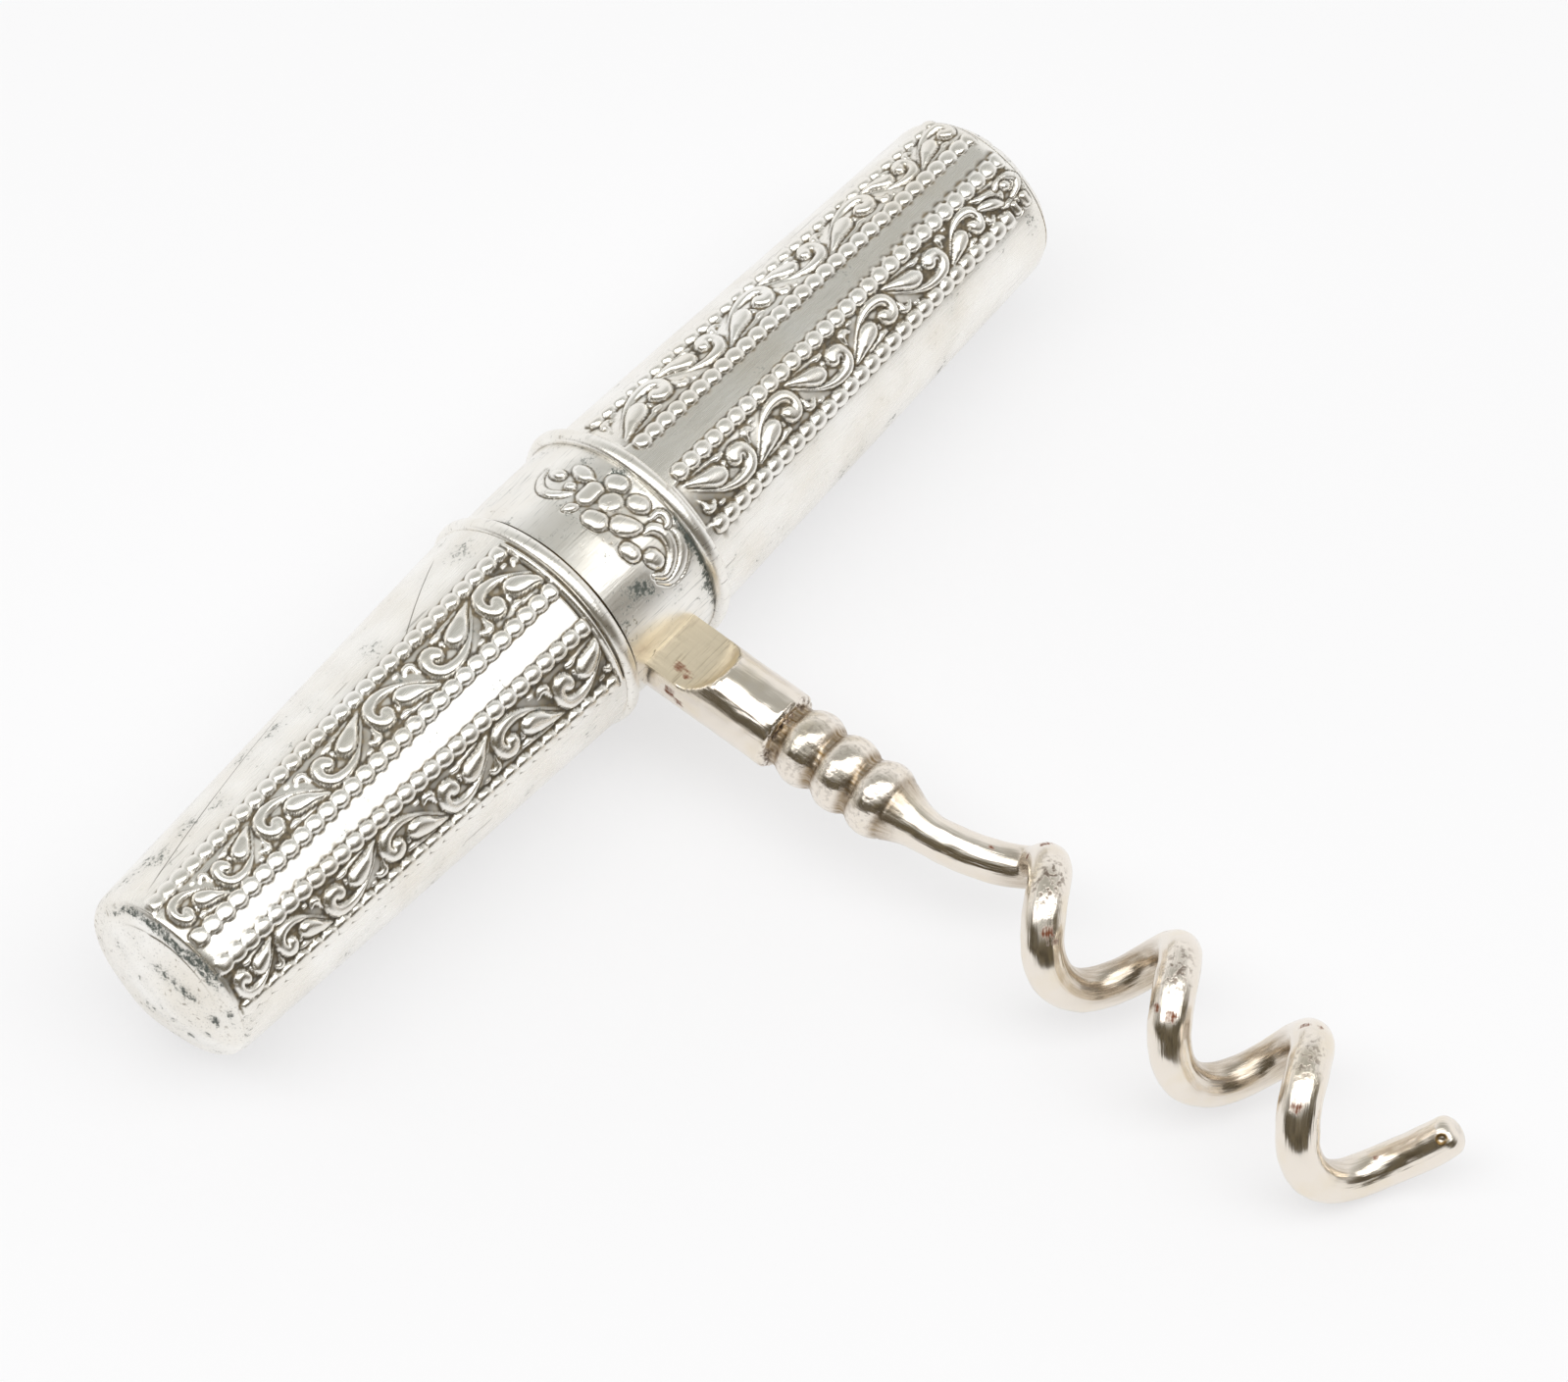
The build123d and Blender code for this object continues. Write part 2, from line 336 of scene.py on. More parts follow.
@dataclass(frozen=True)
class CaseLine:
    """The case's axis. Places on the case are x from the collar's middle, an angle from the top towards
    the worm's side, and a radius."""

    centre: Triple

    @classmethod
    def from_frame(cls, collar_half: float) -> "CaseLine":
        """Find the axis from the fixed half's rim ring.

        Args:
            collar_half: half the collar's width.
        Returns:
            The case's axis.
        """
        low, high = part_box("right_rim_ring")
        middle = (low + high) / 2 / MM
        return cls((low.x / MM - collar_half, middle.y, middle.z))

    def place(self, x: Grid, angle: Grid, radius: Grid) -> Grid:
        """Turn case places to row-frame places.

        Args:
            x: distance from the collar's middle.
            angle: degrees from the top.
            radius: distance from the axis.
        Returns:
            Row-frame places in mm.
        """
        x, angle, radius = np.broadcast_arrays(x, np.radians(angle), radius)
        cx, cy, cz = self.centre
        return np.stack([cx + x, cy - radius * np.sin(angle), cz + radius * np.cos(angle)], -1)


@dataclass(frozen=True)
class Stroke:
    """A rounded raised form of the ornament. Its stations are a place along the band, a place across it
    and a half width."""

    stations: tuple[Triple, ...]
    lift: float = 0.85
    widest: float = 0.46
    thinnest: float = 0.02
    fullness: float = 2.8
    steps: int = 8

    def smooth_stations(self) -> Grid:
        """Run a smooth line through the stations.

        Returns:
            The finer stations.
        """
        known = np.array(self.stations, float)
        if len(known) < 3:
            return known
        ends = np.vstack([2 * known[0] - known[1], known, 2 * known[-1] - known[-2]])
        share = np.linspace(0, 1, self.steps, endpoint=False)
        runs = [curve(b, c, (c - a) / 2, (d - b) / 2, share)
                for a, b, c, d in zip(ends, ends[1:], ends[2:], ends[3:])]
        fine = np.vstack([*runs, known[-1:]])
        fine[:, 2] = np.maximum(fine[:, 2], self.thinnest)
        return fine

    def shape(self, along: Grid, across: Grid) -> tuple[Grid, Grid]:
        """Height of the form and distance from its edge.

        Args:
            along: places along the band.
            across: places across it.
        Returns:
            Height above the ground, and the distance outside the edge, which is negative inside.
        """
        best = np.zeros_like(along)
        outside = np.full_like(along, np.inf)
        fine = self.smooth_stations()
        for (u0, v0, r0), (u1, v1, r1) in zip(fine, fine[1:]):
            du, dv = u1 - u0, v1 - v0
            share = np.clip(((along - u0) * du + (across - v0) * dv) / (du * du + dv * dv), 0, 1)
            reach = np.hypot(along - u0 - du * share, across - v0 - dv * share)
            radius = r0 + (r1 - r0) * share
            profile = np.sqrt(np.clip(1 - (reach / radius) ** self.fullness, 0, 1))
            best = np.maximum(best, self.lift * np.minimum(radius, self.widest) * profile)
            outside = np.minimum(outside, reach - radius)
        return best, outside


# One scroll of the band, from what lies lowest to what lies on top: small fillings, a C-scroll that ends in a
# thick curl, and the plump leaf beside its tail. Its lengths run from the curl towards the case's mouth, and
# across towards the C's back.
SCROLL = (
    Stroke(((4.15, 0.75, 0.12), (4.45, 0.98, 0.22), (4.8, 0.85, 0.26), (4.85, 0.45, 0.14),
            (5.05, 0.0, 0.08))),
    Stroke(((3.6, 1.15, 0.13), (3.85, 1.14, 0.13))),
    Stroke(((1.85, -1.02, 0.14), (2.25, -1.0, 0.2), (2.6, -1.12, 0.12), (3.4, -1.22, 0.09),
            (4.3, -1.3, 0.05))),
    Stroke(((1.32, -0.22, 0.5), (1.1, -0.46, 0.52), (0.7, -0.44, 0.46), (0.45, -0.05, 0.42),
            (0.47, 0.42, 0.42), (0.8, 0.83, 0.42), (1.4, 1.0, 0.38), (2.1, 0.98, 0.31), (2.8, 0.78, 0.22),
            (3.5, 0.42, 0.13), (4.3, -0.16, 0.1), (5.0, -0.78, 0.06), (5.3, -1.1, 0.04))),
    Stroke(((2.1, -0.5, 0.14), (2.25, -0.28, 0.2))),
    Stroke(((2.74, -0.14, 0.52), (2.98, -0.2, 0.64), (3.38, -0.36, 0.6), (3.92, -0.62, 0.44),
            (4.5, -0.92, 0.26), (5.1, -1.2, 0.08)), 0.9),
)
DEGREES_PER_ACROSS = 8.19
SCROLL_LENGTH = 5.0
LARGEST_SCROLL = 1.06

# Curls that close the lower band at the fixed half's end, as reach and degrees from the top
END_CURLS = tuple(
    Stroke(tuple((reach, angle / DEGREES_PER_ACROSS, half) for reach, angle, half in run))
    for run in (
        ((34.8, 33, 0.14), (35.4, 34.5, 0.38), (36.0, 37, 0.42), (36.5, 40.5, 0.2)),
        ((36.7, 31.5, 0.2), (37.3, 29.5, 0.3), (38.1, 30.5, 0.33), (38.6, 35, 0.33), (38.3, 39, 0.3),
         (37.5, 42, 0.2)),
        ((37.45, 33.5, 0.4), (37.5, 34, 0.38)),
        ((38.15, 46.5, 0.42), (38.2, 50.5, 0.4)),
        ((37.15, 46.5, 0.3), (37.2, 51, 0.32)),
    )
)


@dataclass
class Relief:
    """Heights struck in a case piece, on a grid of places along and round it."""

    reach: Grid
    facing: Grid
    ground_depth: float = 0.1
    groove: float = 0.15
    margin: float = 0.8
    hollow_steps: int = 2
    height: Grid = field(init=False)
    oxide: Grid = field(init=False)

    def __post_init__(self) -> None:
        """Start with a plain sheet."""
        self.height = np.zeros(np.broadcast(self.reach, self.facing).shape)
        self.oxide = np.zeros_like(self.height)

    def strike(self, stroke: Stroke, along: Grid, across: Grid, size: float = 1.0) -> None:
        """Raise one form, with a thin groove round it where it lies on another.

        Args:
            stroke: form to raise.
            along: places along the ornament.
            across: places across it.
            size: scale of its height.
        """
        stations = np.array(stroke.stations)
        low, high = stations.min(0) - self.margin, stations.max(0) + self.margin
        near = (along > low[0]) & (along < high[0]) & (across > low[1]) & (across < high[1])
        if not near.any():
            return
        raised, outside = stroke.shape(along[near], across[near])
        beside = ease(0.0, self.groove, outside)
        ground = -self.ground_depth
        under = ground + (self.height[near] - ground) * beside
        self.height[near] = np.where(outside < 0, ground + size * raised, under)

    def settle(self) -> None:
        """Rub the oxide off the raised work, and leave it dark in the hollows."""
        soft, span = self.height, range(-self.hollow_steps, self.hollow_steps + 1)
        for axis in (0, 0, 1, 1):
            soft = sum(np.roll(soft, shift, axis) for shift in span) / len(span)
        rubbed = ease(0.02, 0.12, self.height + self.ground_depth)
        filled = 1.1 * ease(0.01, 0.085, soft - self.height)
        self.oxide = np.clip(self.oxide * (1 - rubbed) + filled, 0, 1)


@dataclass
class CaseHalf:
    """One tapered half of the case: its struck sheet, the rim ring at its mouth and its domed end.
    Reaches are distances from the collar's middle. A row or band has its angle at the mouth and at the
    far end."""

    line: CaseLine
    half: Half
    body: str = "pull_off_half"
    side: str = "left"
    # the turned outline
    mouth: float = 4.9
    sheet_end: float = 38.0
    tip: float = 39.4
    mouth_radius: float = 7.8
    taper_per_mm: float = 0.0485
    cap_depth: float = 2.0
    shoulder: float = 1.3
    crown: float = 16.0
    corner_blend: float = 0.1
    wall: float = 0.5
    # the rim ring
    rim_width: float = 1.1
    rim_bore: float = 7.0
    rim_foot: float = 7.55
    rim_bulge: float = 0.53
    rim_fullness: float = 0.65
    # the dome's wall and the lip inside the sheet
    dome_depth: float = 0.9
    dome_wall: float = 0.7
    lip_length: float = 1.6
    lip_gap: float = 0.05
    # the ornament
    bead_rows: tuple[Pair, ...] = ((-10.5, -12.5), (20.6, 21.0), (42.6, 41.6), (76.0, 72.5))
    row_ends: tuple[float, ...] = (37.4, 37.4, 37.4, 37.4)
    bead_first: float = 5.88
    bead_pitch: float = 1.12
    bead_along: float = 0.7
    bead_across: float = 0.56
    bead_height: float = 0.33
    bead_fullness: float = 1.3
    scroll_bands: tuple[Pair, ...] = ((5.4, 5.3), (59.3, 58.0))
    scroll_starts: tuple[float, ...] = (9.98, 15.25, 20.1, 25.1, 30.0, 33.95, 37.55)
    band_half_angle: float = 12.6
    band_last: float = 37.4
    end_strokes: tuple[Stroke, ...] = ()
    border_height: float = 0.2
    border_reach: float = 0.36
    # age and wear, a darker far flank, and arc, the strength of the painted dark reflection on the shoulder
    worn_end: float = 0.4
    tones: Pair = (0.34, 0.54)
    flank_film: float = 0.07
    # strength of the painted dark reflection along the shoulder
    arc: float = 1.0
    knocks: tuple[Triple, ...] = (
        (39.36, 165, 0.5), (39.02, 143, 0.6), (39.24, 145, 0.4), (38.84, 84, 0.75), (38.39, 74, 0.6),
        (38.33, 51, 0.5), (39.13, -60, 0.55), (39.35, -67, 0.35), (38.75, -13, 0.4), (39.24, 32, 0.35),
        (38.1, 30, 0.3), (38.9, 112, 0.35))
    small_knocks: int = 26
    # the sheet's grid: rings, and columns in a scroll band's panel, between the panels and on the flank
    rings: int = 318
    column_counts: tuple[int, ...] = (68, 6, 68, 13)

    @classmethod
    def fixed(cls, line: CaseLine) -> "CaseHalf":
        """The half that stays on the collar.

        Args:
            line: the case's axis.
        Returns:
            The half, with its own sizes.
        """
        return cls(
            line, Half.FIXED, body="fixed_half", side="right",
            sheet_end=39.0, tip=40.6, mouth_radius=7.4, taper_per_mm=0.0405, shoulder=2.2,
            bead_rows=((-33.6, -34.6), (-1.9, -2.6), (22.2, 20.0), (55.0, 50.4)),
            row_ends=(38.3, 38.3, 38.4, 36.3), bead_first=6.3, bead_pitch=1.108,
            scroll_bands=((-18.8, -19.6), (38.2, 36.0)), band_last=38.0,
            scroll_starts=(11.2, 16.0, 21.0, 25.8, 30.9, 34.8, 38.8),
            end_strokes=END_CURLS, border_height=0.0, worn_end=0.15, tones=(0.24, 0.44), flank_film=0.0,
            arc=0.5,
            knocks=((40.2, 140, 0.4), (39.9, 70, 0.5), (39.7, 10, 0.45), (40.3, -60, 0.4), (39.6, 95, 0.3)),
        )

    def cone(self, reach: Grid | float) -> Grid | float:
        """Radius of the plain taper."""
        return self.mouth_radius - self.taper_per_mm * (reach - self.mouth)

    def radius(self, reach: Grid | float) -> Grid | float:
        """Outer radius of the half: a cone, a rounded shoulder and a shallow crown.

        Args:
            reach: distance from the collar's middle.
        Returns:
            Radius of the plain sheet and dome.
        """
        end = self.cone(self.tip - self.cap_depth) - self.shoulder
        span = sqrt((self.crown - self.shoulder) ** 2 - end**2)
        past = reach - (self.tip - self.crown)
        into = np.clip(past - span, 0, self.shoulder)
        turned = self.cone(reach) - self.shoulder + np.sqrt(self.shoulder**2 - into**2)
        cap = np.sqrt(np.clip(self.crown**2 - np.clip(past, 0, None) ** 2, 0, None))
        lowest, blend = np.minimum(cap, turned), self.corner_blend
        joined = lowest - blend * np.log(np.exp((lowest - cap) / blend) + np.exp((lowest - turned) / blend))
        return np.clip(joined, 0, None)

    def place(self, reach: Grid, angle: Grid, radius: Grid) -> Grid:
        """Turn places on this half to row-frame places."""
        return self.line.place(self.half.value * reach, angle, radius)

    def skin_place(self, reach: float, angle: float) -> Grid:
        """Row-frame place of a spot on the plain skin."""
        return self.place(reach, angle, self.radius(reach))

    def scratch(self, start: Pair, end: Pair) -> "Scratch":
        """Find the plane that a long scratch lies in.

        Args:
            start: reach and angle where it starts.
            end: reach and angle where it ends.
        Returns:
            The scratch.
        """
        first, last = Vector(self.skin_place(*start)), Vector(self.skin_place(*end))
        middle = (first + last) / 2
        out = middle - Vector(self.line.centre)
        across = (last - first).cross((0, out.y, out.z)).normalized()
        return Scratch(tuple(middle * MM), tuple(across), (last - first).length * MM / 2)

    def shoulder_painted_reflection(self, points: Grid, angle: Grid, radius: Grid) -> Grid:
        """Painted dark reflection in an uneven arc along the worn shoulder, where it turns towards the dark
        front of the room.

        Args:
            points: places in mm.
            angle: degrees from the top.
            radius: plain radius at each place.
        Returns:
            Strength of the painted reflection.
        """
        facing = signed(angle)
        line = 5.62 - 0.35 * np.exp(-(((facing - 18) / 26) ** 2)) + 0.1 * waves(points, 1.3, 51)
        width = 0.24 + 0.12 * waves(points, 1.1, 52) + 0.2 * ease(-20, 40, facing)
        shown = between((-75, -20), (66, 44), facing)
        strength = ease(width + 0.3, width - 0.12, np.abs(radius - line))
        return 0.5 * self.arc * shown * strength

    def line_angle(self, ends: Pair, reach: Grid) -> Grid:
        """Angle of a row at each reach, from its angles at the mouth and at the far end."""
        share = (reach - self.mouth) / (self.sheet_end - self.mouth)
        return ends[0] + (ends[1] - ends[0]) * share

    def columns(self) -> Grid:
        """Angles of the grid's columns, close together in the ornament of both panels."""
        edge, inner_edge = 7, 5
        first, second, third, last = (sum(ends) / 2 for ends in self.bead_rows)
        stops = (first - edge, second + inner_edge, third - inner_edge, last + edge, first + 180 - edge)
        spans = zip(stops, stops[1:], self.column_counts)
        once = np.concatenate([np.linspace(*span, endpoint=False) for span in spans])
        return np.concatenate([once, once + 180, once[:1] + 360])

    def relief(self, reach: Grid, angle: Grid) -> Relief:
        """Strike the ornament of both panels.

        Args:
            reach: distance of each grid place from the collar's middle.
            angle: angle of each grid place.
        Returns:
            The finished relief.
        """
        panel_edge = self.bead_rows[0][0] - 30
        work = Relief(reach, (angle - panel_edge) % 180 + panel_edge)
        self.sink_bands(work)
        self.strike_scrolls(work)
        self.strike_beads(work)
        lines = self.strike_border(work) if self.border_height else 0.0
        work.settle()
        work.oxide = np.maximum(work.oxide, 0.8 * lines)
        return work

    def sink_bands(self, work: Relief) -> None:
        """Sink the ground of the scroll bands, and darken it in clouds.

        Args:
            work: relief that gets them.
        """
        mm_per_degree = 0.13
        flat = np.stack([work.reach, work.facing * mm_per_degree, 0 * work.reach], -1)
        clouds = 0.2 * waves(flat, 1.7, 5) + 0.22 * waves(flat, 5.0, 6)
        side_edge = (self.band_half_angle + 1.2, self.band_half_angle - 0.6)
        mouth_edge = (self.mouth + 0.2, self.mouth + 0.45)
        far_edge = (self.band_last + 0.7, self.band_last + 0.2)
        for tone, ends in zip(self.tones, self.scroll_bands):
            off = np.abs(work.facing - self.line_angle(ends, work.reach))
            inside = ease(*side_edge, off) * between(mouth_edge, far_edge, work.reach)
            work.height -= work.ground_depth * inside
            work.oxide += np.clip(tone + clouds, 0.05, 0.95) * inside

    def strike_scrolls(self, work: Relief) -> None:
        """Strike the scrolls, which turn over from one to the next, and the curls at the far end.

        Args:
            work: relief that gets them.
        """
        spans = list(zip((self.mouth + 0.3,) + self.scroll_starts, self.scroll_starts))
        for band, ends in enumerate(self.scroll_bands):
            across = (work.facing - self.line_angle(ends, work.reach)) / DEGREES_PER_ACROSS
            for stroke in SCROLL:
                for number, (before, start) in enumerate(spans):
                    size = min(LARGEST_SCROLL, (start - before) / SCROLL_LENGTH)
                    flip = 1 if (number + band) % 2 else -1
                    work.strike(stroke, (start - work.reach) / size, across * flip, 0.75 + 0.25 * size)
        for stroke in self.end_strokes:
            work.strike(stroke, work.reach, work.facing / DEGREES_PER_ACROSS)

    def strike_beads(self, work: Relief) -> None:
        """Strike the rows of beads beside the scroll bands, which are worn down at the far end.

        Args:
            work: relief that gets them.
        """
        faintest, last_room = 0.01, 0.3
        step = (work.reach - self.bead_first) % self.bead_pitch
        along = np.minimum(step, self.bead_pitch - step)
        height = self.bead_height * (1 - self.worn_end * ease(29, 37, work.reach))
        arc = pi / 180 * self.radius(work.reach)
        for last, ends in zip(self.row_ends, self.bead_rows):
            across = (work.facing - self.line_angle(ends, work.reach)) * arc
            off = ((along / self.bead_along) ** 2 + (across / self.bead_across) ** 2) ** self.bead_fullness
            dome = height * np.sqrt(np.clip(1 - off, 0, 1))
            run = (work.reach > self.bead_first - self.bead_pitch / 2) & (work.reach < last + last_room)
            work.height = np.where((dome > faintest) & run, np.maximum(work.height, dome), work.height)

    def strike_border(self, work: Relief) -> Grid:
        """Strike a raised line at the mouth, from the first bead row to the last.

        Args:
            work: relief that gets it.
        Returns:
            Strength of the dark lines beside it.
        """
        past_rows, faintest, groove = 2, 0.01, 0.1
        first, last = self.bead_rows[0][0] - past_rows, self.bead_rows[-1][0] + past_rows
        panel = (work.facing > first) & (work.facing < last)
        off = np.abs(work.reach - self.mouth - self.border_reach)
        line = ease(0.22, 0.08, off)
        work.height = np.where(line * panel > faintest, self.border_height * line, work.height)
        beside = panel * ease(0.14, 0.02, np.abs(off - 0.3))
        work.height -= groove * beside
        return beside

    def sheet(self) -> Mesh:
        """Press the half's sheet wall with its relief.

        Returns:
            The sheet, closed round its wall.
        """
        middle = (self.mouth + self.sheet_end) / 2
        outer = np.linspace(self.mouth, self.sheet_end, self.rings)
        reach = np.concatenate([outer, [self.sheet_end, middle, self.mouth, self.mouth]])
        reach, angle = np.broadcast_arrays(reach, self.columns()[:, None])
        struck = np.s_[:, :self.rings]
        work = self.relief(reach[struck], angle[struck])
        height, oxide = np.zeros_like(reach), np.full_like(reach, 0.6)
        height[struck], oxide[struck] = work.height, work.oxide
        plain = self.radius(reach)
        radius = plain + height
        radius[:, self.rings:-1] -= self.wall
        for values in (height, oxide, radius):
            values[:, -1] = values[:, 0]
        sway = 0.022 * waves(self.place(reach, angle, radius), 9.0, 3)
        points = self.place(reach, angle, radius + sway - INSET)
        # painted dark reflection along the shoulder, next to the dome
        arc = self.shoulder_painted_reflection(points, angle, plain) * (reach > self.sheet_end - 0.6)
        film = 0.04 + 0.13 * waves(points, 1.3, 25) + 0.08 * waves(points, 4.0, 26)
        # darker grey along the flank away from the worm
        film = film + self.flank_film * between((-110, -80), (-13, -26), signed(angle))
        tarnish_and_painted_reflection = np.maximum(arc, film * (1 - ease(0.02, 0.1, height)))
        layers = {"oxide": oxide, "tarnish_and_painted_reflection": np.clip(tarnish_and_painted_reflection, 0, 1)}
        return stitched_tube(f"{self.side}_case_sheet", points, layers)

    def rim(self) -> Mesh:
        """Roll the half-round rim ring.

        Returns:
            The ring.
        """
        bulge, around = np.linspace(0, pi, 19), np.linspace(0, 360, 217)[:, None]
        inner_face, middle = self.mouth - self.rim_width, self.mouth - self.rim_width / 2
        half, bore, foot = self.rim_width / 2, self.rim_bore, self.rim_foot
        reach = np.concatenate([middle + half * np.cos(bulge), [inner_face, self.mouth, self.mouth]])
        rounded = foot + self.rim_bulge * np.sin(bulge) ** self.rim_fullness
        radius = np.concatenate([rounded, [bore, bore, foot]])
        reach, radius, angle = np.broadcast_arrays(reach, radius, around)
        wear = 0.03 * waves(self.place(reach, angle, radius), 2.6, 8) * (radius > foot + 0.05)
        points = self.place(reach, angle, radius + wear - INSET)
        oxide = 0.5 * ease(foot + 0.11, foot + 0.01, radius)
        side = ease(foot + 0.4, foot + 0.15, radius)
        tarnish_and_painted_reflection = 0.2 * side * ease(-0.4, 0.8, waves(points, 1.5, 53))
        return stitched_tube(f"{self.side}_rim", points, {"oxide": oxide, "tarnish_and_painted_reflection": tarnish_and_painted_reflection})

    def dome(self) -> Mesh:
        """Close the half with its worn dome.

        Returns:
            The dome, with its wall.
        """
        rings = 52
        turn, around = np.linspace(0, pi / 2, rings), np.linspace(0, 360, 193)[:, None]
        outside = self.sheet_end + (self.tip - self.sheet_end) * np.sin(turn)
        outer = self.radius(outside)
        inner = np.maximum(outer[::-1] - self.dome_wall, 0)
        inner[0] = 0
        lip_start, lip_radius = self.sheet_end - self.lip_length, outer[0] - self.wall - self.lip_gap
        lip = [lip_start, lip_start, self.sheet_end]
        reach = np.concatenate([outside, outside[::-1] - self.dome_depth, lip, outside[:1]])
        radius = np.concatenate([outer, inner, [inner[-1], lip_radius, lip_radius], outer[:1]])
        reach, radius, angle = np.broadcast_arrays(reach, radius, around)
        points = self.place(reach, angle, radius)
        skin = np.arange(reach.shape[1]) < rings
        knocked, dent_grime_and_painted_reflection = self.knocked(points)
        dents = (0.05 * waves(points, 2.6, 21) + 0.012 * waves(points, 1.1, 22) - 0.16 * knocked) * skin
        fade = ease(self.sheet_end, self.sheet_end + 0.4, reach)
        points[..., 0] += self.half.value * np.minimum(0, dents - 0.07) * fade
        # grime with a painted dark reflection in the dents, over a faint film of tarnish
        film = np.maximum(0.06 + 0.2 * waves(points, 1.5, 24), dent_grime_and_painted_reflection * (0.8 + 0.4 * waves(points, 0.8, 23)))
        # the painted dark reflection along the shoulder, over the film
        tarnish_and_painted_reflection = np.maximum(self.shoulder_painted_reflection(points, angle, radius), film * fade) * skin
        layers = {"oxide": 0 * tarnish_and_painted_reflection, "tarnish_and_painted_reflection": np.clip(tarnish_and_painted_reflection, 0, 1)}
        return stitched_tube(f"{self.side}_dome", points, layers)

    def knocked(self, points: Grid) -> tuple[Grid, Grid]:
        """Knock dents in the dome: the large ones of the photographed tool, and small ones at random.

        Args:
            points: places in mm.
        Returns:
            Size of the dent at each place, and strength of the grime and painted dark reflection in it.
        """
        flatter, large, deep_grime_and_painted_reflection, faint_grime_and_painted_reflection = (1, 1, 0.75), 0.3, 0.42, 0.25
        rng = np.random.default_rng(24)
        small = tuple((self.tip - 0.7 * rng.uniform() ** 2, rng.uniform(0, 360), rng.uniform(0.15, 0.3))
                      for _ in range(self.small_knocks))
        knocked = np.zeros(points.shape[:-1])
        dent_grime_and_painted_reflection = np.zeros(points.shape[:-1])
        # each dent gets grime and a painted dark reflection, stronger in the large ones
        for reach, angle, size in self.knocks + small:
            apart = np.linalg.norm((points - self.skin_place(reach, angle)) * flatter, axis=-1) / size
            grime_and_painted_reflection = deep_grime_and_painted_reflection if size > large else faint_grime_and_painted_reflection
            knocked = np.maximum(knocked, np.clip(1 - apart**2, 0, 1) * size)
            dent_grime_and_painted_reflection = np.maximum(dent_grime_and_painted_reflection, np.clip(1.3 - apart, 0, 1) * grime_and_painted_reflection)
        return knocked, dent_grime_and_painted_reflection

    def build(self, silver: Material, worn: Material) -> None:
        """Build and dress the half.

        Args:
            silver: finish of the struck sheet.
            worn: finish of the rim and the dome.
        """
        finish_piece(self.sheet(), silver, self.body, (f"{self.side}_shell",))
        finish_piece(self.rim(), worn, self.body, (f"{self.side}_rim_ring",))
        finish_piece(self.dome(), worn, self.body, (f"{self.side}_end_cap",))


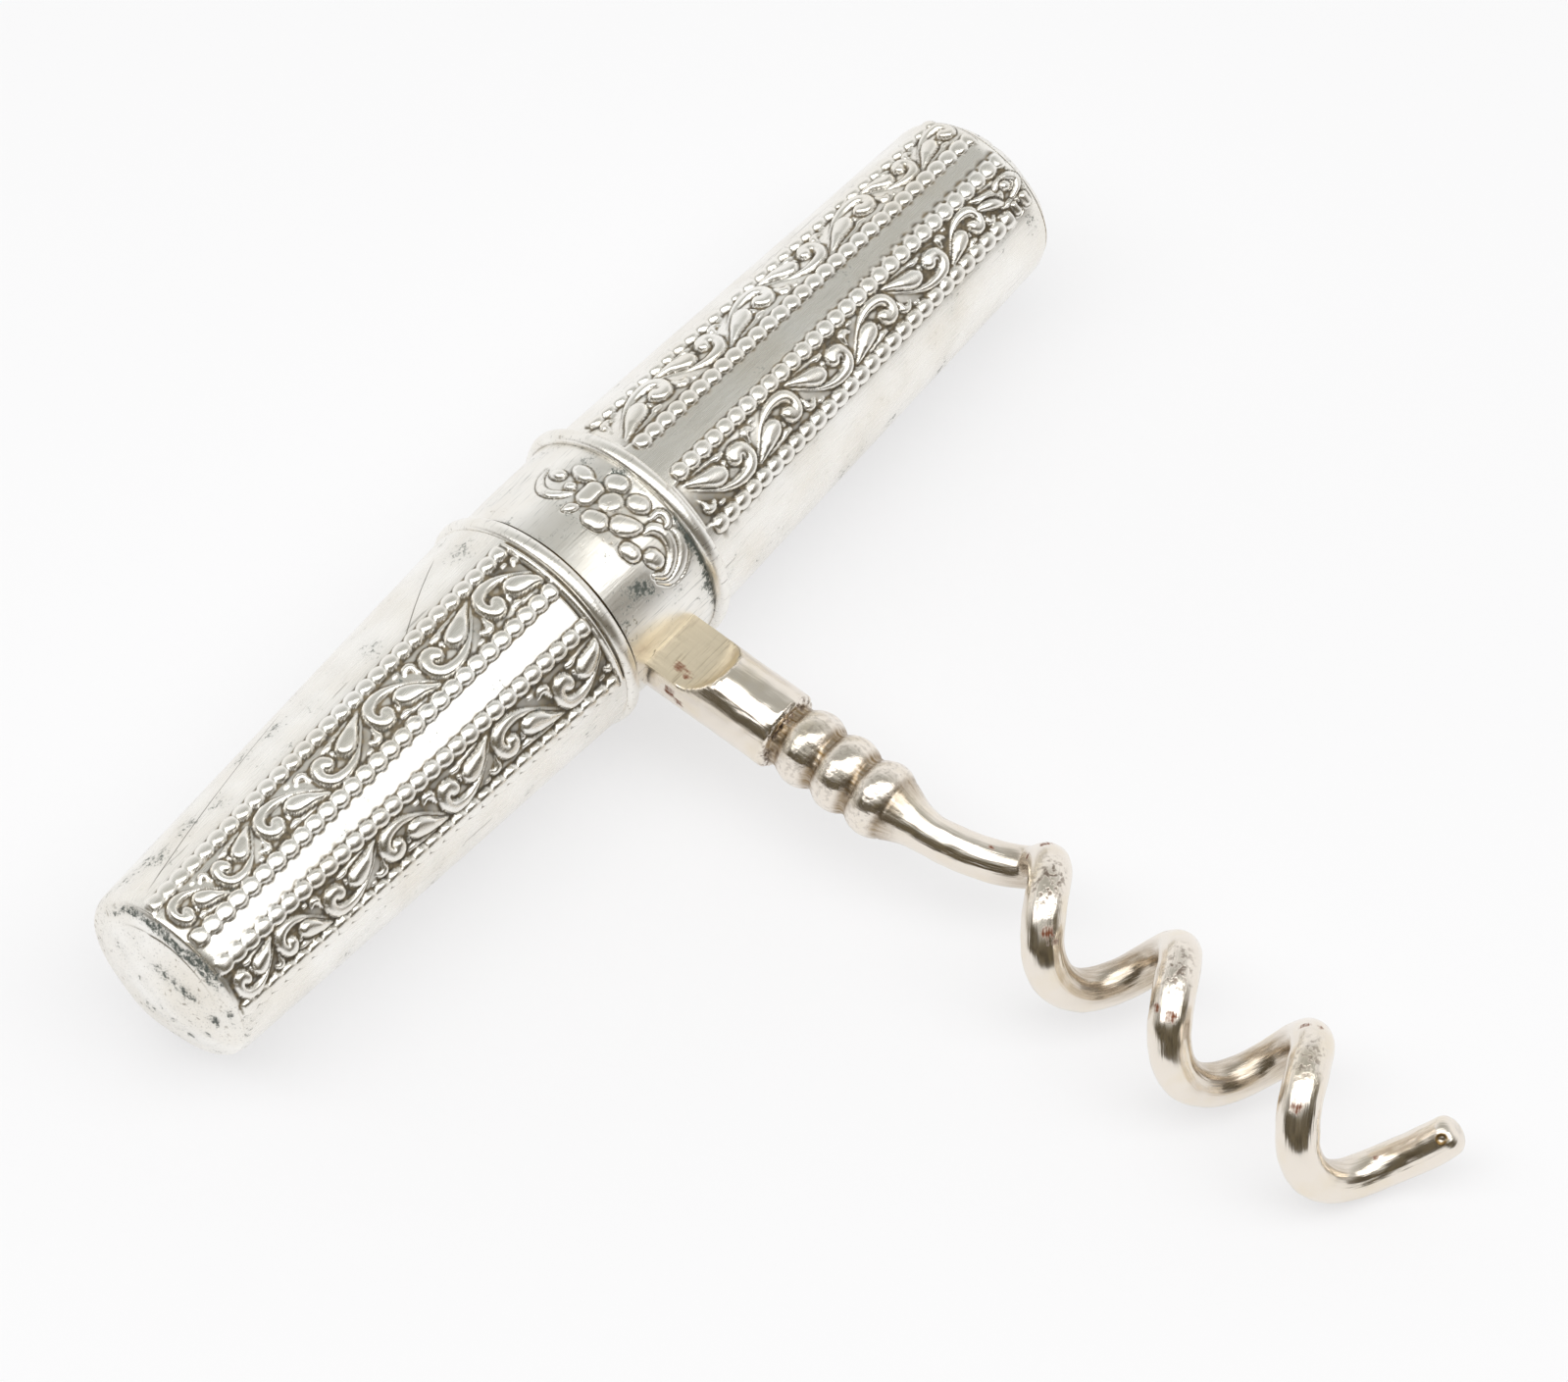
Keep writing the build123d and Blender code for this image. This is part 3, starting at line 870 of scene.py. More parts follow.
@dataclass
class Collar:
    """The band between the halves, with a struck flower, a scroll on each side of it, and the slot."""

    line: CaseLine
    left: float = -3.55
    right: float = 3.8
    radius: float = 7.5
    wall: float = 0.9
    slot_right: float = 2.6
    slot_half: float = 1.25
    slot_depth: float = 7.0
    slot_overrun: float = 1.0
    rings: int = 92
    # angles where the ornament's columns start and end, and where the plain ones end, half way round
    panel: Pair = (-36, 64)
    panel_columns: int = 156
    flank_columns: int = 27
    # tarnished patches: strength, then middle in x and angle, and half size in both
    patches: tuple[tuple[float, Quad], ...] = (
        (0.5, (3.75, 50.0, 0.45, 17.0)), (0.4, (2.9, -15.0, 0.7, 6.0)), (0.4, (3.3, 2.0, 0.6, 5.0)),
        (0.35, (2.0, 63.0, 1.2, 5.0)), (0.35, (3.6, 82.0, 0.5, 14.0)), (0.3, (-0.8, 48.0, 1.2, 9.0)),
        (0.25, (-2.6, 48.0, 0.9, 10.0)), (0.3, (-2.3, 4.0, 0.9, 8.0)), (0.3, (1.4, 8.0, 1.6, 13.0)))

    def strokes(self) -> tuple[Stroke, ...]:
        """The ornament's forms, from the lowest to the one on top.

        Returns:
            Scrolls, balls, leaf, petals and the flower's middle, as x from the collar's middle and arc.
        """
        runs = (
            (0.8, (1.35, -30, 0.14), (0.5, -28, 0.24), (-0.15, -23, 0.32), (-0.3, -17, 0.34),
             (0.05, -11.5, 0.28), (0.55, -8, 0.12)),
            (0.9, (1.2, -24, 0.3), (1.25, -21.5, 0.42), (1.3, -20, 0.4)),
            (0.8, (0.85, -11.6, 0.34), (0.9, -10.8, 0.34)),
            (0.75, (2.2, -15, 0.36), (2.1, -11, 0.58), (2.0, -7, 0.34), (2.1, -4.5, 0.14)),
            (0.8, (-0.75, -4.0, 0.2), (-0.45, -2.6, 0.34), (-0.1, -1.2, 0.2)),
            (0.5, (3.1, 38, 0.2), (3.25, 44, 0.34), (2.9, 51, 0.4), (2.1, 56, 0.38), (1.1, 57, 0.3),
             (0.4, 53, 0.2)),
            (0.85, (1.6, 31, 0.2), (2.2, 32.5, 0.38), (2.55, 38, 0.42), (2.4, 45, 0.38), (1.8, 50.5, 0.34),
             (1.0, 53, 0.28), (0.3, 49.5, 0.16)),
            (0.9, (2.55, 28.5, 0.16), (3.15, 28.8, 0.24), (3.4, 32, 0.28), (3.2, 36, 0.24),
             (2.85, 36.2, 0.12)),
            (0.8, (-0.1, 31.5, 0.56), (0.0, 34.5, 0.58)),
            (0.85, (0.9, 42.3, 0.6), (1.0, 44.5, 0.58)),
            (0.7, (-0.2, 9, 0.66), (-0.1, 12.3, 0.7)),
            (0.7, (2.75, 4.4, 0.68), (2.85, 6.4, 0.68)),
            (0.7, (2.6, 19.0, 0.66), (2.75, 20.8, 0.64)),
            (0.7, (0.75, 21, 0.72), (1.1, 24.5, 0.62), (1.5, 27.5, 0.34)),
            (0.7, (0.75, -0.9, 0.62), (1.5, -0.6, 0.64)),
            (0.4, (1.4, 9.2, 0.66), (1.65, 10.4, 0.64)),
        )
        arc = pi / 180 * self.radius
        return tuple(Stroke(tuple((x, a * arc, r) for x, a, r in run), lift) for lift, *run in runs)

    def build(self, silver: Material) -> None:
        """Press the band, cut its slot and dress it.

        Args:
            silver: finish of the band.
        """
        start, end = self.panel
        once = np.concatenate([np.linspace(start, end, self.panel_columns)[:-1],
                               np.linspace(end, start + 180, self.flank_columns)[:-1]])
        angle = np.concatenate([once, once + 180, once[:1] + 360])[:, None]
        outer = np.linspace(self.left, self.right, self.rings)
        reach = np.concatenate([outer, [self.right, self.left, self.left]])
        reach, angle = np.broadcast_arrays(reach, angle)
        struck = np.s_[:, :self.rings]
        along, facing = reach[struck], (angle[struck] + 90) % 180 - 90
        across = facing * pi / 180 * self.radius
        work = Relief(along, facing)
        ornament = ease(2.6, 1.5, np.hypot((along - 1.3) * 1.15, (across - 1.5) * 0.42))
        work.height -= work.ground_depth * ornament
        for stroke in self.strokes():
            work.strike(stroke, along, across)
        work.settle()
        edge = ease(0.35, 0.0, np.minimum(along - self.left, self.right - along))
        plain = self.line.place(along, angle[struck], self.radius)
        raised = ease(0.03, 0.15, work.height + work.ground_depth * ornament)
        film = 0.05 + 0.14 * waves(plain, 1.2, 34) + 0.12 * edge
        film = film + sum(size * patch(along, facing, spot) for size, spot in self.patches)
        height, oxide, tarnish_and_painted_reflection = (np.zeros_like(reach) for _ in range(3))
        height[struck] = work.height
        oxide[struck] = np.clip(work.oxide + 0.3 * edge + 0.2 * ornament, 0, 1)
        tarnish_and_painted_reflection[struck] = np.clip(film * (1 - 0.75 * raised), 0, 1)
        radius = self.radius + height
        radius[:, self.rings:-1] -= self.wall
        radius[:, -1], oxide[:, -1] = radius[:, 0], oxide[:, 0]
        dents = 0.025 * waves(self.line.place(reach, angle, radius), 2.2, 31)
        points = self.line.place(reach, angle, radius + dents)
        band = stitched_tube("collar_sheet", points, {"oxide": oxide, "tarnish_and_painted_reflection": tarnish_and_painted_reflection})
        cut_away(band, self.slot())
        finish_piece(band, silver, "fixed_half", ("collar_band",))

    def slot(self) -> Mesh:
        """Make the cutter of the worm's slot, on the band's near side.

        Returns:
            The cutter.
        """
        _, down, out = (Vector(way) for way in worm_axes())
        along = Vector((1, 0, 0))
        length = self.slot_right - self.left + self.slot_overrun
        middle = Vector(self.line.centre) + along * (self.slot_right - length / 2) + out * self.radius
        clear_selection()
        bpy.ops.mesh.primitive_cube_add(size=1.0)
        cutter = bpy.context.object
        for corner in cutter.data.vertices:
            x, y, z = corner.co
            shift = along * (x * length) + out * (y * self.slot_depth) + down * (z * 2 * self.slot_half)
            corner.co = (middle + shift) * MM
        return cutter


@dataclass
class Worm:
    """The forged worm: flat tang, round shank, three turned beads, taper and open coil. Its own axes are
    across it along the case, across it down the hinge pin, and the reach from the pin."""

    shank_radius: float = 2.6
    shank_end: float = 16.8
    shank_rounding: float = 0.3
    tang_half: float = 1.1
    tang_reach: float = 9.9
    runout: float = 1.8
    pin_hole: float = 0.9
    bead_first: float = 18.6
    bead_count: int = 3
    bead_pitch: float = 2.72
    bead_radius: float = 2.5
    bead_share: float = 0.9
    bead_fullness: float = 2.2
    neck_radius: float = 2.05
    taper_end: float = 28.3
    wire_radius: float = 1.33
    wire_root: float = 27.5
    coil_start: float = 34.27
    coil_radius: float = 2.62
    coil_flare: float = 0.26
    coil_pitch: float = 9.75
    coil_turn: float = 11 * pi / 2
    tip: Triple = (3.911, -0.409, 64.145)
    tip_heading: Triple = (0.6, 0.65, 0.47)
    tip_thinning: float = 0.05
    chamfer: float = 0.8
    tip_round: float = 0.95
    # runs of rings before the wire: first reach, last reach and count
    rings: tuple[tuple[float, float, int], ...] = (
        (-2.6, -1.8, 10), (-1.6, 10.2, 48), (10.5, 11.7, 16), (11.71, 11.71, 1), (12.0, 16.3, 24),
        (16.45, 16.8, 7), (16.82, 16.82, 1), (16.95, 27.5, 112))
    root_rings: int = 60
    coil_rings: int = 330
    tip_rings: int = 90
    thinned_rings: int = 20
    around: int = 72
    # places and sizes of wear
    tip_mark: Triple = (2.95, 0.5, 64.23)
    rust_spots: tuple[Quad, ...] = (
        (-1.2, 1.1, 9.1, 0.8), (-1.3, 1.1, 9.9, 0.7), (1.39, 0.54, 31.5, 0.45), (1.77, 1.65, 33.9, 0.5),
        (2.83, 2.35, 34.4, 0.8), (-2.4, 2.95, 38.6, 0.9), (-2.4, 2.4, 38.9, 0.7), (-2.4, 3.4, 46.75, 0.7),
        (-2.4, 3.5, 47.9, 0.8), (-2.6, 3.7, 57.3, 0.9), (0.71, -1.87, 61.4, 0.4), (2.4, 3.3, 54.2, 0.7),
        (2.8, 3.5, 55.0, 0.5), (-2.45, 0.3, 9.5, 0.9), (-2.4, -0.2, 10.3, 0.8))

    def turned_radius(self, reach: Grid) -> Grid:
        """Radius of the shank, the turned beads and the taper.

        Args:
            reach: distance from the hinge pin.
        Returns:
            Radius at each reach.
        """
        first = self.bead_first - self.bead_pitch / 2
        last = first + self.bead_count * self.bead_pitch
        phase = ((reach - first) / self.bead_pitch) % 1.0
        crest = 1 - np.clip(np.abs(2 * phase - 1) / self.bead_share, 0, 1) ** self.bead_fullness
        bead = self.neck_radius + (self.bead_radius - self.neck_radius) * crest
        share = np.clip((reach - last) / (self.taper_end - last), 0, 1)
        taper = self.wire_radius + (self.neck_radius - self.wire_radius) * (1 - share) ** 2
        corner = 1 - np.clip((self.shank_end - reach) / self.shank_rounding, 0, 1)
        shank = self.shank_radius - self.shank_rounding * corner**2
        parts = [reach <= self.shank_end, reach >= last, reach > first]
        return np.select(parts, [shank, taper, bead], self.neck_radius)

    def path(self) -> tuple[Grid, Grid]:
        """The middle line from the tang's heel to the tip, and the radius along it.

        Returns:
            Places across and along the worm, and radii.
        """
        reach = np.concatenate([np.linspace(*run) for run in self.rings])
        straight = np.stack([0 * reach, 0 * reach, reach], -1)
        root = (np.array([0, 0, self.wire_root]), np.array([0, 0, 1.0]))
        lead, widening = self.coil_pitch / (2 * pi), self.coil_flare / (2 * pi)
        turn = np.linspace(0, self.coil_turn, self.coil_rings)
        spread = self.coil_radius + widening * turn
        coil = np.stack([spread * np.cos(turn), spread * np.sin(turn), self.coil_start + lead * turn], -1)
        first = (coil[0], np.array([widening, spread[0], lead]))
        last = (coil[-1], np.array([spread[-1], -widening, lead]))
        tip, heading = np.array(self.tip), np.array(self.tip_heading)
        to_coil = self.bridge(root, first, self.root_rings)[1:-1]
        to_tip = self.bridge(last, (tip, heading), self.tip_rings)[1:]
        line = np.vstack([straight, to_coil, coil, to_tip])
        radius = self.turned_radius(line[:, 2])
        radius[-self.thinned_rings:] -= np.linspace(0, self.tip_thinning, self.thinned_rings)
        round_off = np.linspace(0, pi / 2, 8)[1:]
        end = tip + heading / np.linalg.norm(heading) * self.chamfer * np.sin(round_off)[:, None]
        end_radius = radius[-1] - self.tip_round * (1 - np.cos(round_off))
        return np.vstack([line, end]), np.append(radius, end_radius)

    def bridge(self, start: tuple[Grid, Grid], end: tuple[Grid, Grid], rings: int) -> Grid:
        """Middle line between two places with their headings."""
        chord = np.linalg.norm(end[0] - start[0])
        pulls = (heading / np.linalg.norm(heading) * chord for _, heading in (start, end))
        return curve(start[0], end[0], *pulls, np.linspace(0, 1, rings))

    def cross_axes(self, line: Grid) -> tuple[Grid, Grid]:
        """Carry two axes along the middle line without twist.

        Args:
            line: places on the middle line.
        Returns:
            Both axes at each place.
        """
        heading = np.gradient(line, axis=0)
        heading /= np.linalg.norm(heading, axis=1)[:, None]
        side = np.zeros_like(line)
        side[0] = (1, 0, 0)
        for i in range(1, len(line)):
            flat = side[i - 1] - heading[i] * (side[i - 1] @ heading[i])
            side[i] = flat / np.linalg.norm(flat)
        return side, np.cross(heading, side)

    def section(self, reach: Grid, radius: Grid, turn: Grid) -> tuple[Grid, ...]:
        """Shape the rings: round, with two flats on the tang that run out in a round, and a round heel.

        Args:
            reach: distance of each ring from the hinge pin.
            radius: its radius.
            turn: angle of each place in a ring, in radians.
        Returns:
            Places across, places down, and which of them lie on a flat.
        """
        flat_room = 0.02
        across, down = radius * np.cos(turn), radius * np.sin(turn)
        # the flats reach furthest in their middle
        past = reach + 0.25 - 0.7 * (1 - np.clip(np.abs(across) / 2.4, 0, 1) ** 2)
        rise = np.sqrt(np.clip(self.runout**2 - np.clip(past - self.tang_reach, 0, None) ** 2, 0, None))
        ends = self.tang_reach + self.runout
        limit = np.where(past <= ends, self.tang_half + self.runout - rise, np.inf)
        down = np.clip(down, -limit, limit)
        heel = np.sqrt(np.clip(self.shank_radius**2 - np.minimum(reach, 0) ** 2, 0, None))
        across = np.where(reach < 0, np.clip(across, -heel, heel), across)
        return across, down, np.abs(down) >= limit - flat_room

    def build(self, steel: Material) -> None:
        """Forge, turn and coil the worm, and dress it.

        Args:
            steel: its finish.
        """
        line, radius = self.path()
        turn = np.linspace(0, 2 * pi, self.around + 1)[:, None]
        side, other = self.cross_axes(line)
        across, down, flat = self.section(line[:, 2], radius, turn)
        tube = line + across[..., None] * side + down[..., None] * other
        # each end closes in one more ring, which is a point
        line = np.vstack([line[:1], line, line[-1:]])
        flat = np.hstack([flat[:, :1], flat, flat[:, -1:]])
        heel, tip = (np.broadcast_to(line[end], (self.around + 1, 1, 3)) for end in (0, -1))
        tube = np.hstack([heel, tube, tip])
        tube, wear = self.wear(tube, line)
        run = np.append(0, np.cumsum(np.linalg.norm(np.diff(line, axis=0), axis=1)))
        spin, run = np.broadcast_arrays(turn, run)
        drawn = np.stack([2 * np.cos(spin), 2 * np.sin(spin), 0.12 * run], -1) * MM
        layers = wear | {"tang": ease(13, 12, line[:, 2]) * flat, "drawn": drawn}
        pivot, pin, out = worm_axes()
        places = pivot + tube[..., 0:1] * (1, 0, 0) + tube[..., 1:2] * pin + tube[..., 2:3] * out
        forging = stitched_tube("worm_forging", places, layers)
        cut_away(forging, self.drill(pivot, pin))
        finish_piece(forging, steel, "worm", ("worm",))

    def wear(self, tube: Grid, line: Grid) -> tuple[Grid, dict[str, Grid]]:
        """Wear the forging: hammered lumps, a chipped shoulder, a mark on the tip, grease and rust.

        Args:
            tube: places of the clean form.
            line: its middle line.
        Returns:
            Worn places, and the layers of oxide, pits and rust.
        """
        reach = line[:, 2] + 0 * tube[..., 0]
        outward = tube - line
        radius = np.linalg.norm(outward, axis=-1)
        outward = outward / np.maximum(radius, 1e-6)[..., None]
        turned = between((16.9, 17.4), (28, 24), reach)
        lumps = 0.02 * waves(tube, 1.6, 41) + 0.012 * waves(tube, 0.7, 42)
        lumps = lumps + turned * (0.022 * waves(tube, 0.9, 44) + 0.006 * waves(tube, 0.35, 45))
        from_tip = np.linalg.norm(tube - tube[:, -1:], axis=-1)
        lumps = lumps * (reach > self.rings[3][0] + 0.04) * ease(0.9, 2.4, from_tip)
        shoulder = ease(0.5, 0.1, np.abs(reach - self.shank_end))
        mark = np.linalg.norm(tube - np.array(self.tip_mark), axis=-1)
        chips = 0.14 * shoulder * np.clip(waves(tube, 0.45, 43) - 0.1, 0, 1) + 0.15 * ease(0.34, 0.12, mark)
        tube = tube + outward * ((lumps - chips) * (radius > 1e-3))[..., None]
        # grease stays between the beads, inside the coil and round the mark on the tip
        necks = ease(2.42, 2.08, radius) * between((16.7, 16.9), (27, 24.6), reach)
        inside = ease(self.coil_radius + 0.5, self.coil_radius - 0.9, np.hypot(tube[..., 0], tube[..., 1]))
        inside = 0.55 * inside * between((31, 34), (62, 59), reach)
        ringed = 1.6 * ease(0.16, 0.04, np.abs(mark - 0.3))
        # the plate has lifted on top of the coil, at the shoulder and on the turned part
        highest = self.coil_radius + self.wire_radius + 0.04 * (reach - 34)
        top = 0.9 * ease(0.8, 1.0, tube[..., 1] / highest) * (reach > 33.5)
        lifted = top + ease(0.5, 0.0, np.abs(reach - self.shank_end - 0.1))
        rust = np.zeros_like(reach)
        for *spot, size in self.rust_spots:
            rust = np.maximum(rust, ease(1.1, 0.1, np.linalg.norm(tube - np.array(spot), axis=-1) / size))
        grease = np.maximum(np.maximum(necks, inside), ringed)
        pits = np.clip(np.maximum(lifted, 0.22 * turned), 0, 1)
        return tube, {"oxide": grease, "pits": pits, "rust": rust}

    def drill(self, pivot: Grid, pin: Grid) -> Mesh:
        """Make the cutter of the tang's hole for the hinge pin.

        Args:
            pivot: middle of the hinge in mm.
            pin: direction of the pin.
        Returns:
            The cutter.
        """
        depth, facets = 6, 48
        clear_selection()
        bpy.ops.mesh.primitive_cylinder_add(
            vertices=facets, radius=self.pin_hole * MM, depth=depth * MM, location=Vector(pivot) * MM,
            rotation=Vector(pin).to_track_quat("Z", "Y").to_euler())
        return bpy.context.object


@dataclass(frozen=True)
class Scratch:
    """One long dark scratch, where a plane cuts the surface, in metres."""

    middle: Triple
    across: Triple
    half_length: float
    width: float = 0.055 * MM
    fade: float = 0.8

    def mask(self, wire: Wiring, place: Socket) -> Socket:
        """Mask the scratch.

        Args:
            wire: wiring of the finish that gets it.
            place: object coordinates.
        Returns:
            Strength of the scratch.
        """
        from_middle = wire.add("VectorMath", {0: place, 1: self.middle}, operation="SUBTRACT")
        off = wire.add("Math", {0: wire.dot(from_middle, self.across)}, operation="ABSOLUTE")
        apart = wire.add("VectorMath", {0: place, 1: self.middle}, "Value", operation="DISTANCE")
        line = wire.ramp(off, self.width, self.width / 3)
        return wire.times(line, wire.ramp(apart, self.half_length, self.half_length * self.fade))


@dataclass(frozen=True)
class StruckSilver(Finish):
    """Sterling silver sheet, die struck and hand polished. Oxide stays dark in its hollows, and handling has
    left the raised work bright with fine scratches."""

    polish: str = "#FBF9F4"
    haze: str = "#F0EBE1"
    oxide: str = "#4C4333"
    crust: str = "#857861"
    # grey-green of tarnish and of the painted dark reflection
    tarnish_and_painted_reflection: str = "#5F655F"
    roughness: float = 0.25
    pitting: float = 0.12
    scratches: float = 0.12
    hairline: float = 0.12
    cloud_size: float = 4.0
    grain_size: float = 0.45
    scratch_size: float = 0.5
    grit_size: float = 0.36
    long_scratches: tuple[Scratch, ...] = ()

    def surface(self, wire: Wiring) -> Feeds:
        """What each input of the shader gets.

        Args:
            wire: wiring of the finish.
        Returns:
            Number, colour or output for each input.
        """
        place = wire.places()
        cloud = wire.noise(place, self.cloud_size, 4.0)
        grain = wire.noise(place, self.grain_size, 3.0)
        # polishing hairlines, and more of them across the first ones
        hair = wire.noise(wire.drawn_out(place, (0.5, 0.2, 0.4), 0.06), self.hairline)
        cross = wire.noise(wire.drawn_out(place, (1.1, 0.4, 1.9), 0.05), self.hairline)
        # the dark oxide of the hollows, broken up by its grain, and pits in clouds
        dark = wire.ramp(wire.plus(wire.layer("oxide"), wire.times(grain, 0.45)), 0.45, 1.2)
        pits = wire.times(wire.ramp(grain, 0.62, 0.7), wire.ramp(cloud, 0.5, 0.62))
        pits = wire.times(pits, self.pitting)
        dark = wire.larger(dark, pits, clamp=True)
        colour = wire.mix(wire.ramp(cloud, 0.35, 0.75), self.polish, self.haze)
        # a few long dark scratches that cross the case
        stray = wire.noise(wire.drawn_out(place, (0.3, 0.9, 0.8), 0.03), self.scratch_size)
        colour = wire.mix(wire.ramp(stray, 0.715, 0.73, end=0.35), colour, self.oxide)
        for scratch in self.long_scratches:
            colour = wire.mix(wire.times(scratch.mask(wire, place), 0.75), colour, self.oxide)
        colour = wire.mix(wire.times(wire.ramp(cross, 0.6, 0.72), self.scratches), colour, self.tarnish_and_painted_reflection)
        colour = wire.mix(dark, colour, wire.mix(wire.ramp(grain, 0.4, 0.65), self.oxide, self.crust))
        # grey-green tarnish, a soft film that breaks into specks, and the painted dark reflection on the
        # shoulders and in the dome's dents
        film = wire.layer("tarnish_and_painted_reflection")
        grit = wire.noise(place, self.grit_size, 6.0, 0.8)
        specks = wire.ramp(wire.plus(wire.times(film, 0.55), grit), 0.68, 0.8)
        film = wire.larger(specks, wire.times(film, 0.2))
        colour = wire.mix(film, colour, self.tarnish_and_painted_reflection)
        dark = wire.larger(dark, film)
        rough = wire.plus(wire.times(hair, 0.14), self.roughness - 0.05)
        lines = wire.bump(wire.plus(hair, cross), self.scratches, 0.02)
        return {
            "Base Color": colour,
            "Metallic": wire.ramp(dark, 0.0, 1.0, 1.0, 0.3),
            "Roughness": wire.plus(rough, wire.times(dark, 0.3)),
            "Normal": wire.bump(pits, 0.5, -0.05, lines),
        }


@dataclass(frozen=True)
class NickelPlatedSteel(Finish):
    """Forged steel with a dull nickel plate. The grooves are golden brown with old grease, and the plate has
    lifted and rusted on the tang and on top of the coil."""

    name: str = "nickel_plated_forged_steel"
    plate: str = "#F0E8DD"
    brown: str = "#8A7048"
    khaki: str = "#EADDC3"
    rust: str = "#80492C"
    pit: str = "#7D6C5F"
    roughness: float = 0.13
    grain_size: float = 0.34
    cloud_size: float = 2.4
    streak_size: float = 0.2
    file_size: float = 0.16
    hammer_size: float = 0.75

    def surface(self, wire: Wiring) -> Feeds:
        """What each input of the shader gets.

        Args:
            wire: wiring of the finish.
        Returns:
            Number, colour or output for each input.
        """
        place, drawn, tang = wire.places(), wire.layer("drawn", "Vector"), wire.layer("tang")
        grain = wire.noise(place, self.grain_size, 5.0)
        cloud = wire.noise(place, self.cloud_size, 3.0)
        # forging and polishing streaks along the wire, and file marks across the tang
        streak = wire.noise(drawn, self.streak_size, 3.0)
        filed = wire.noise(wire.drawn_out(place, (0.0, 0.0, 0.12), 0.06), self.file_size, 3.0)
        colour = wire.mix(wire.ramp(cloud, 0.5, 1.0), self.plate, self.khaki)
        greased = wire.times(wire.layer("oxide"), wire.times(streak, 1.5), clamp=True)
        colour = wire.mix(greased, colour, self.brown)
        # the tang's filed face is streaked with old grease
        colour = wire.mix(wire.times(tang, 0.85), colour, self.khaki)
        smeared = wire.times(wire.ramp(filed, 0.55, 0.75, end=0.4), tang)
        colour = wire.mix(smeared, colour, self.brown)
        pitted = wire.times(wire.ramp(grain, 0.5, 0.62), wire.layer("pits"))
        colour = wire.mix(pitted, colour, self.pit)
        # rust breaks through the plate in flecks
        broken = wire.times(wire.plus(grain, streak), 0.5)
        rusty = wire.ramp(wire.plus(wire.times(wire.layer("rust"), 0.42), broken), 0.75, 0.95)
        colour = wire.mix(rusty, colour, self.rust)
        rough = self.roughness
        for share, gain in ((pitted, 0.25), (tang, 0.24), (greased, 0.18), (rusty, 0.4), (streak, 0.12)):
            rough = wire.plus(wire.times(share, gain), rough)
        # shallow hammer waves under the marks, and pits in both
        waved = wire.bump(wire.noise(drawn, self.hammer_size), 0.5, 0.12)
        marks = wire.add("Mix", {0: tang, 2: streak, 3: filed})
        return {
            "Base Color": colour,
            "Metallic": wire.ramp(rusty, 0.0, 1.0, 1.0, 0.35),
            "Roughness": rough,
            "Normal": wire.bump(pitted, 0.5, -0.05, wire.bump(marks, 0.6, 0.03, waved)),
        }


@dataclass(frozen=True)
class WorkshopMetal(Finish):
    """Plain metal inside the case: drawn tube or filed steel, darkened by age, with tool marks along it."""

    bright: str = "#A79F90"
    dark: str = "#5D5446"
    roughness: float = 0.35
    mark_size: float = 0.2
    cloud_size: float = 2.0

    def surface(self, wire: Wiring) -> Feeds:
        """What each input of the shader gets.

        Args:
            wire: wiring of the finish.
        Returns:
            Number, colour or output for each input.
        """
        place = wire.places()
        marks = wire.noise(wire.drawn_out(place, (0.0, 0.0, 0.0), 0.05), self.mark_size)
        return {
            "Base Color": wire.mix(wire.noise(place, self.cloud_size, 4.0), self.bright, self.dark),
            "Metallic": 1.0,
            "Roughness": wire.plus(wire.times(marks, 0.2), self.roughness),
            "Normal": wire.bump(marks, 0.2, 0.02),
        }


@dataclass(frozen=True)
class Paper(Finish):
    """Matt photographer's paper."""

    colour: str = "#F7F7F9"

    def surface(self, wire: Wiring) -> Feeds:
        """What each input of the shader gets."""
        return {"Base Color": self.colour, "Roughness": 0.9, "Specular IOR Level": 0.1}


@dataclass
class InnerWorks:
    """The tubes, hinge block, pin and stop ring, which keep their CAD shapes."""

    brass_nodes: tuple[str, ...] = ("socket_lining", "spigot_tube", "guide_sleeve")
    steel_nodes: tuple[str, ...] = ("stop_ring", "hinge_block", "pivot_pin")

    def dress(self) -> None:
        """Give the CAD nodes their finishes."""
        brass = WorkshopMetal("drawn_brass_tube", "#C2A468", "#7A6236", 0.3, 0.15).material()
        steel = WorkshopMetal("filed_steel").material()
        for names, material in ((self.brass_nodes, brass), (self.steel_nodes, steel)):
            for name in names:
                data = frame["nodes"][name].data
                data.materials.clear()
                data.materials.append(material)
            log.info("%s: %s", material.name, ", ".join(names))


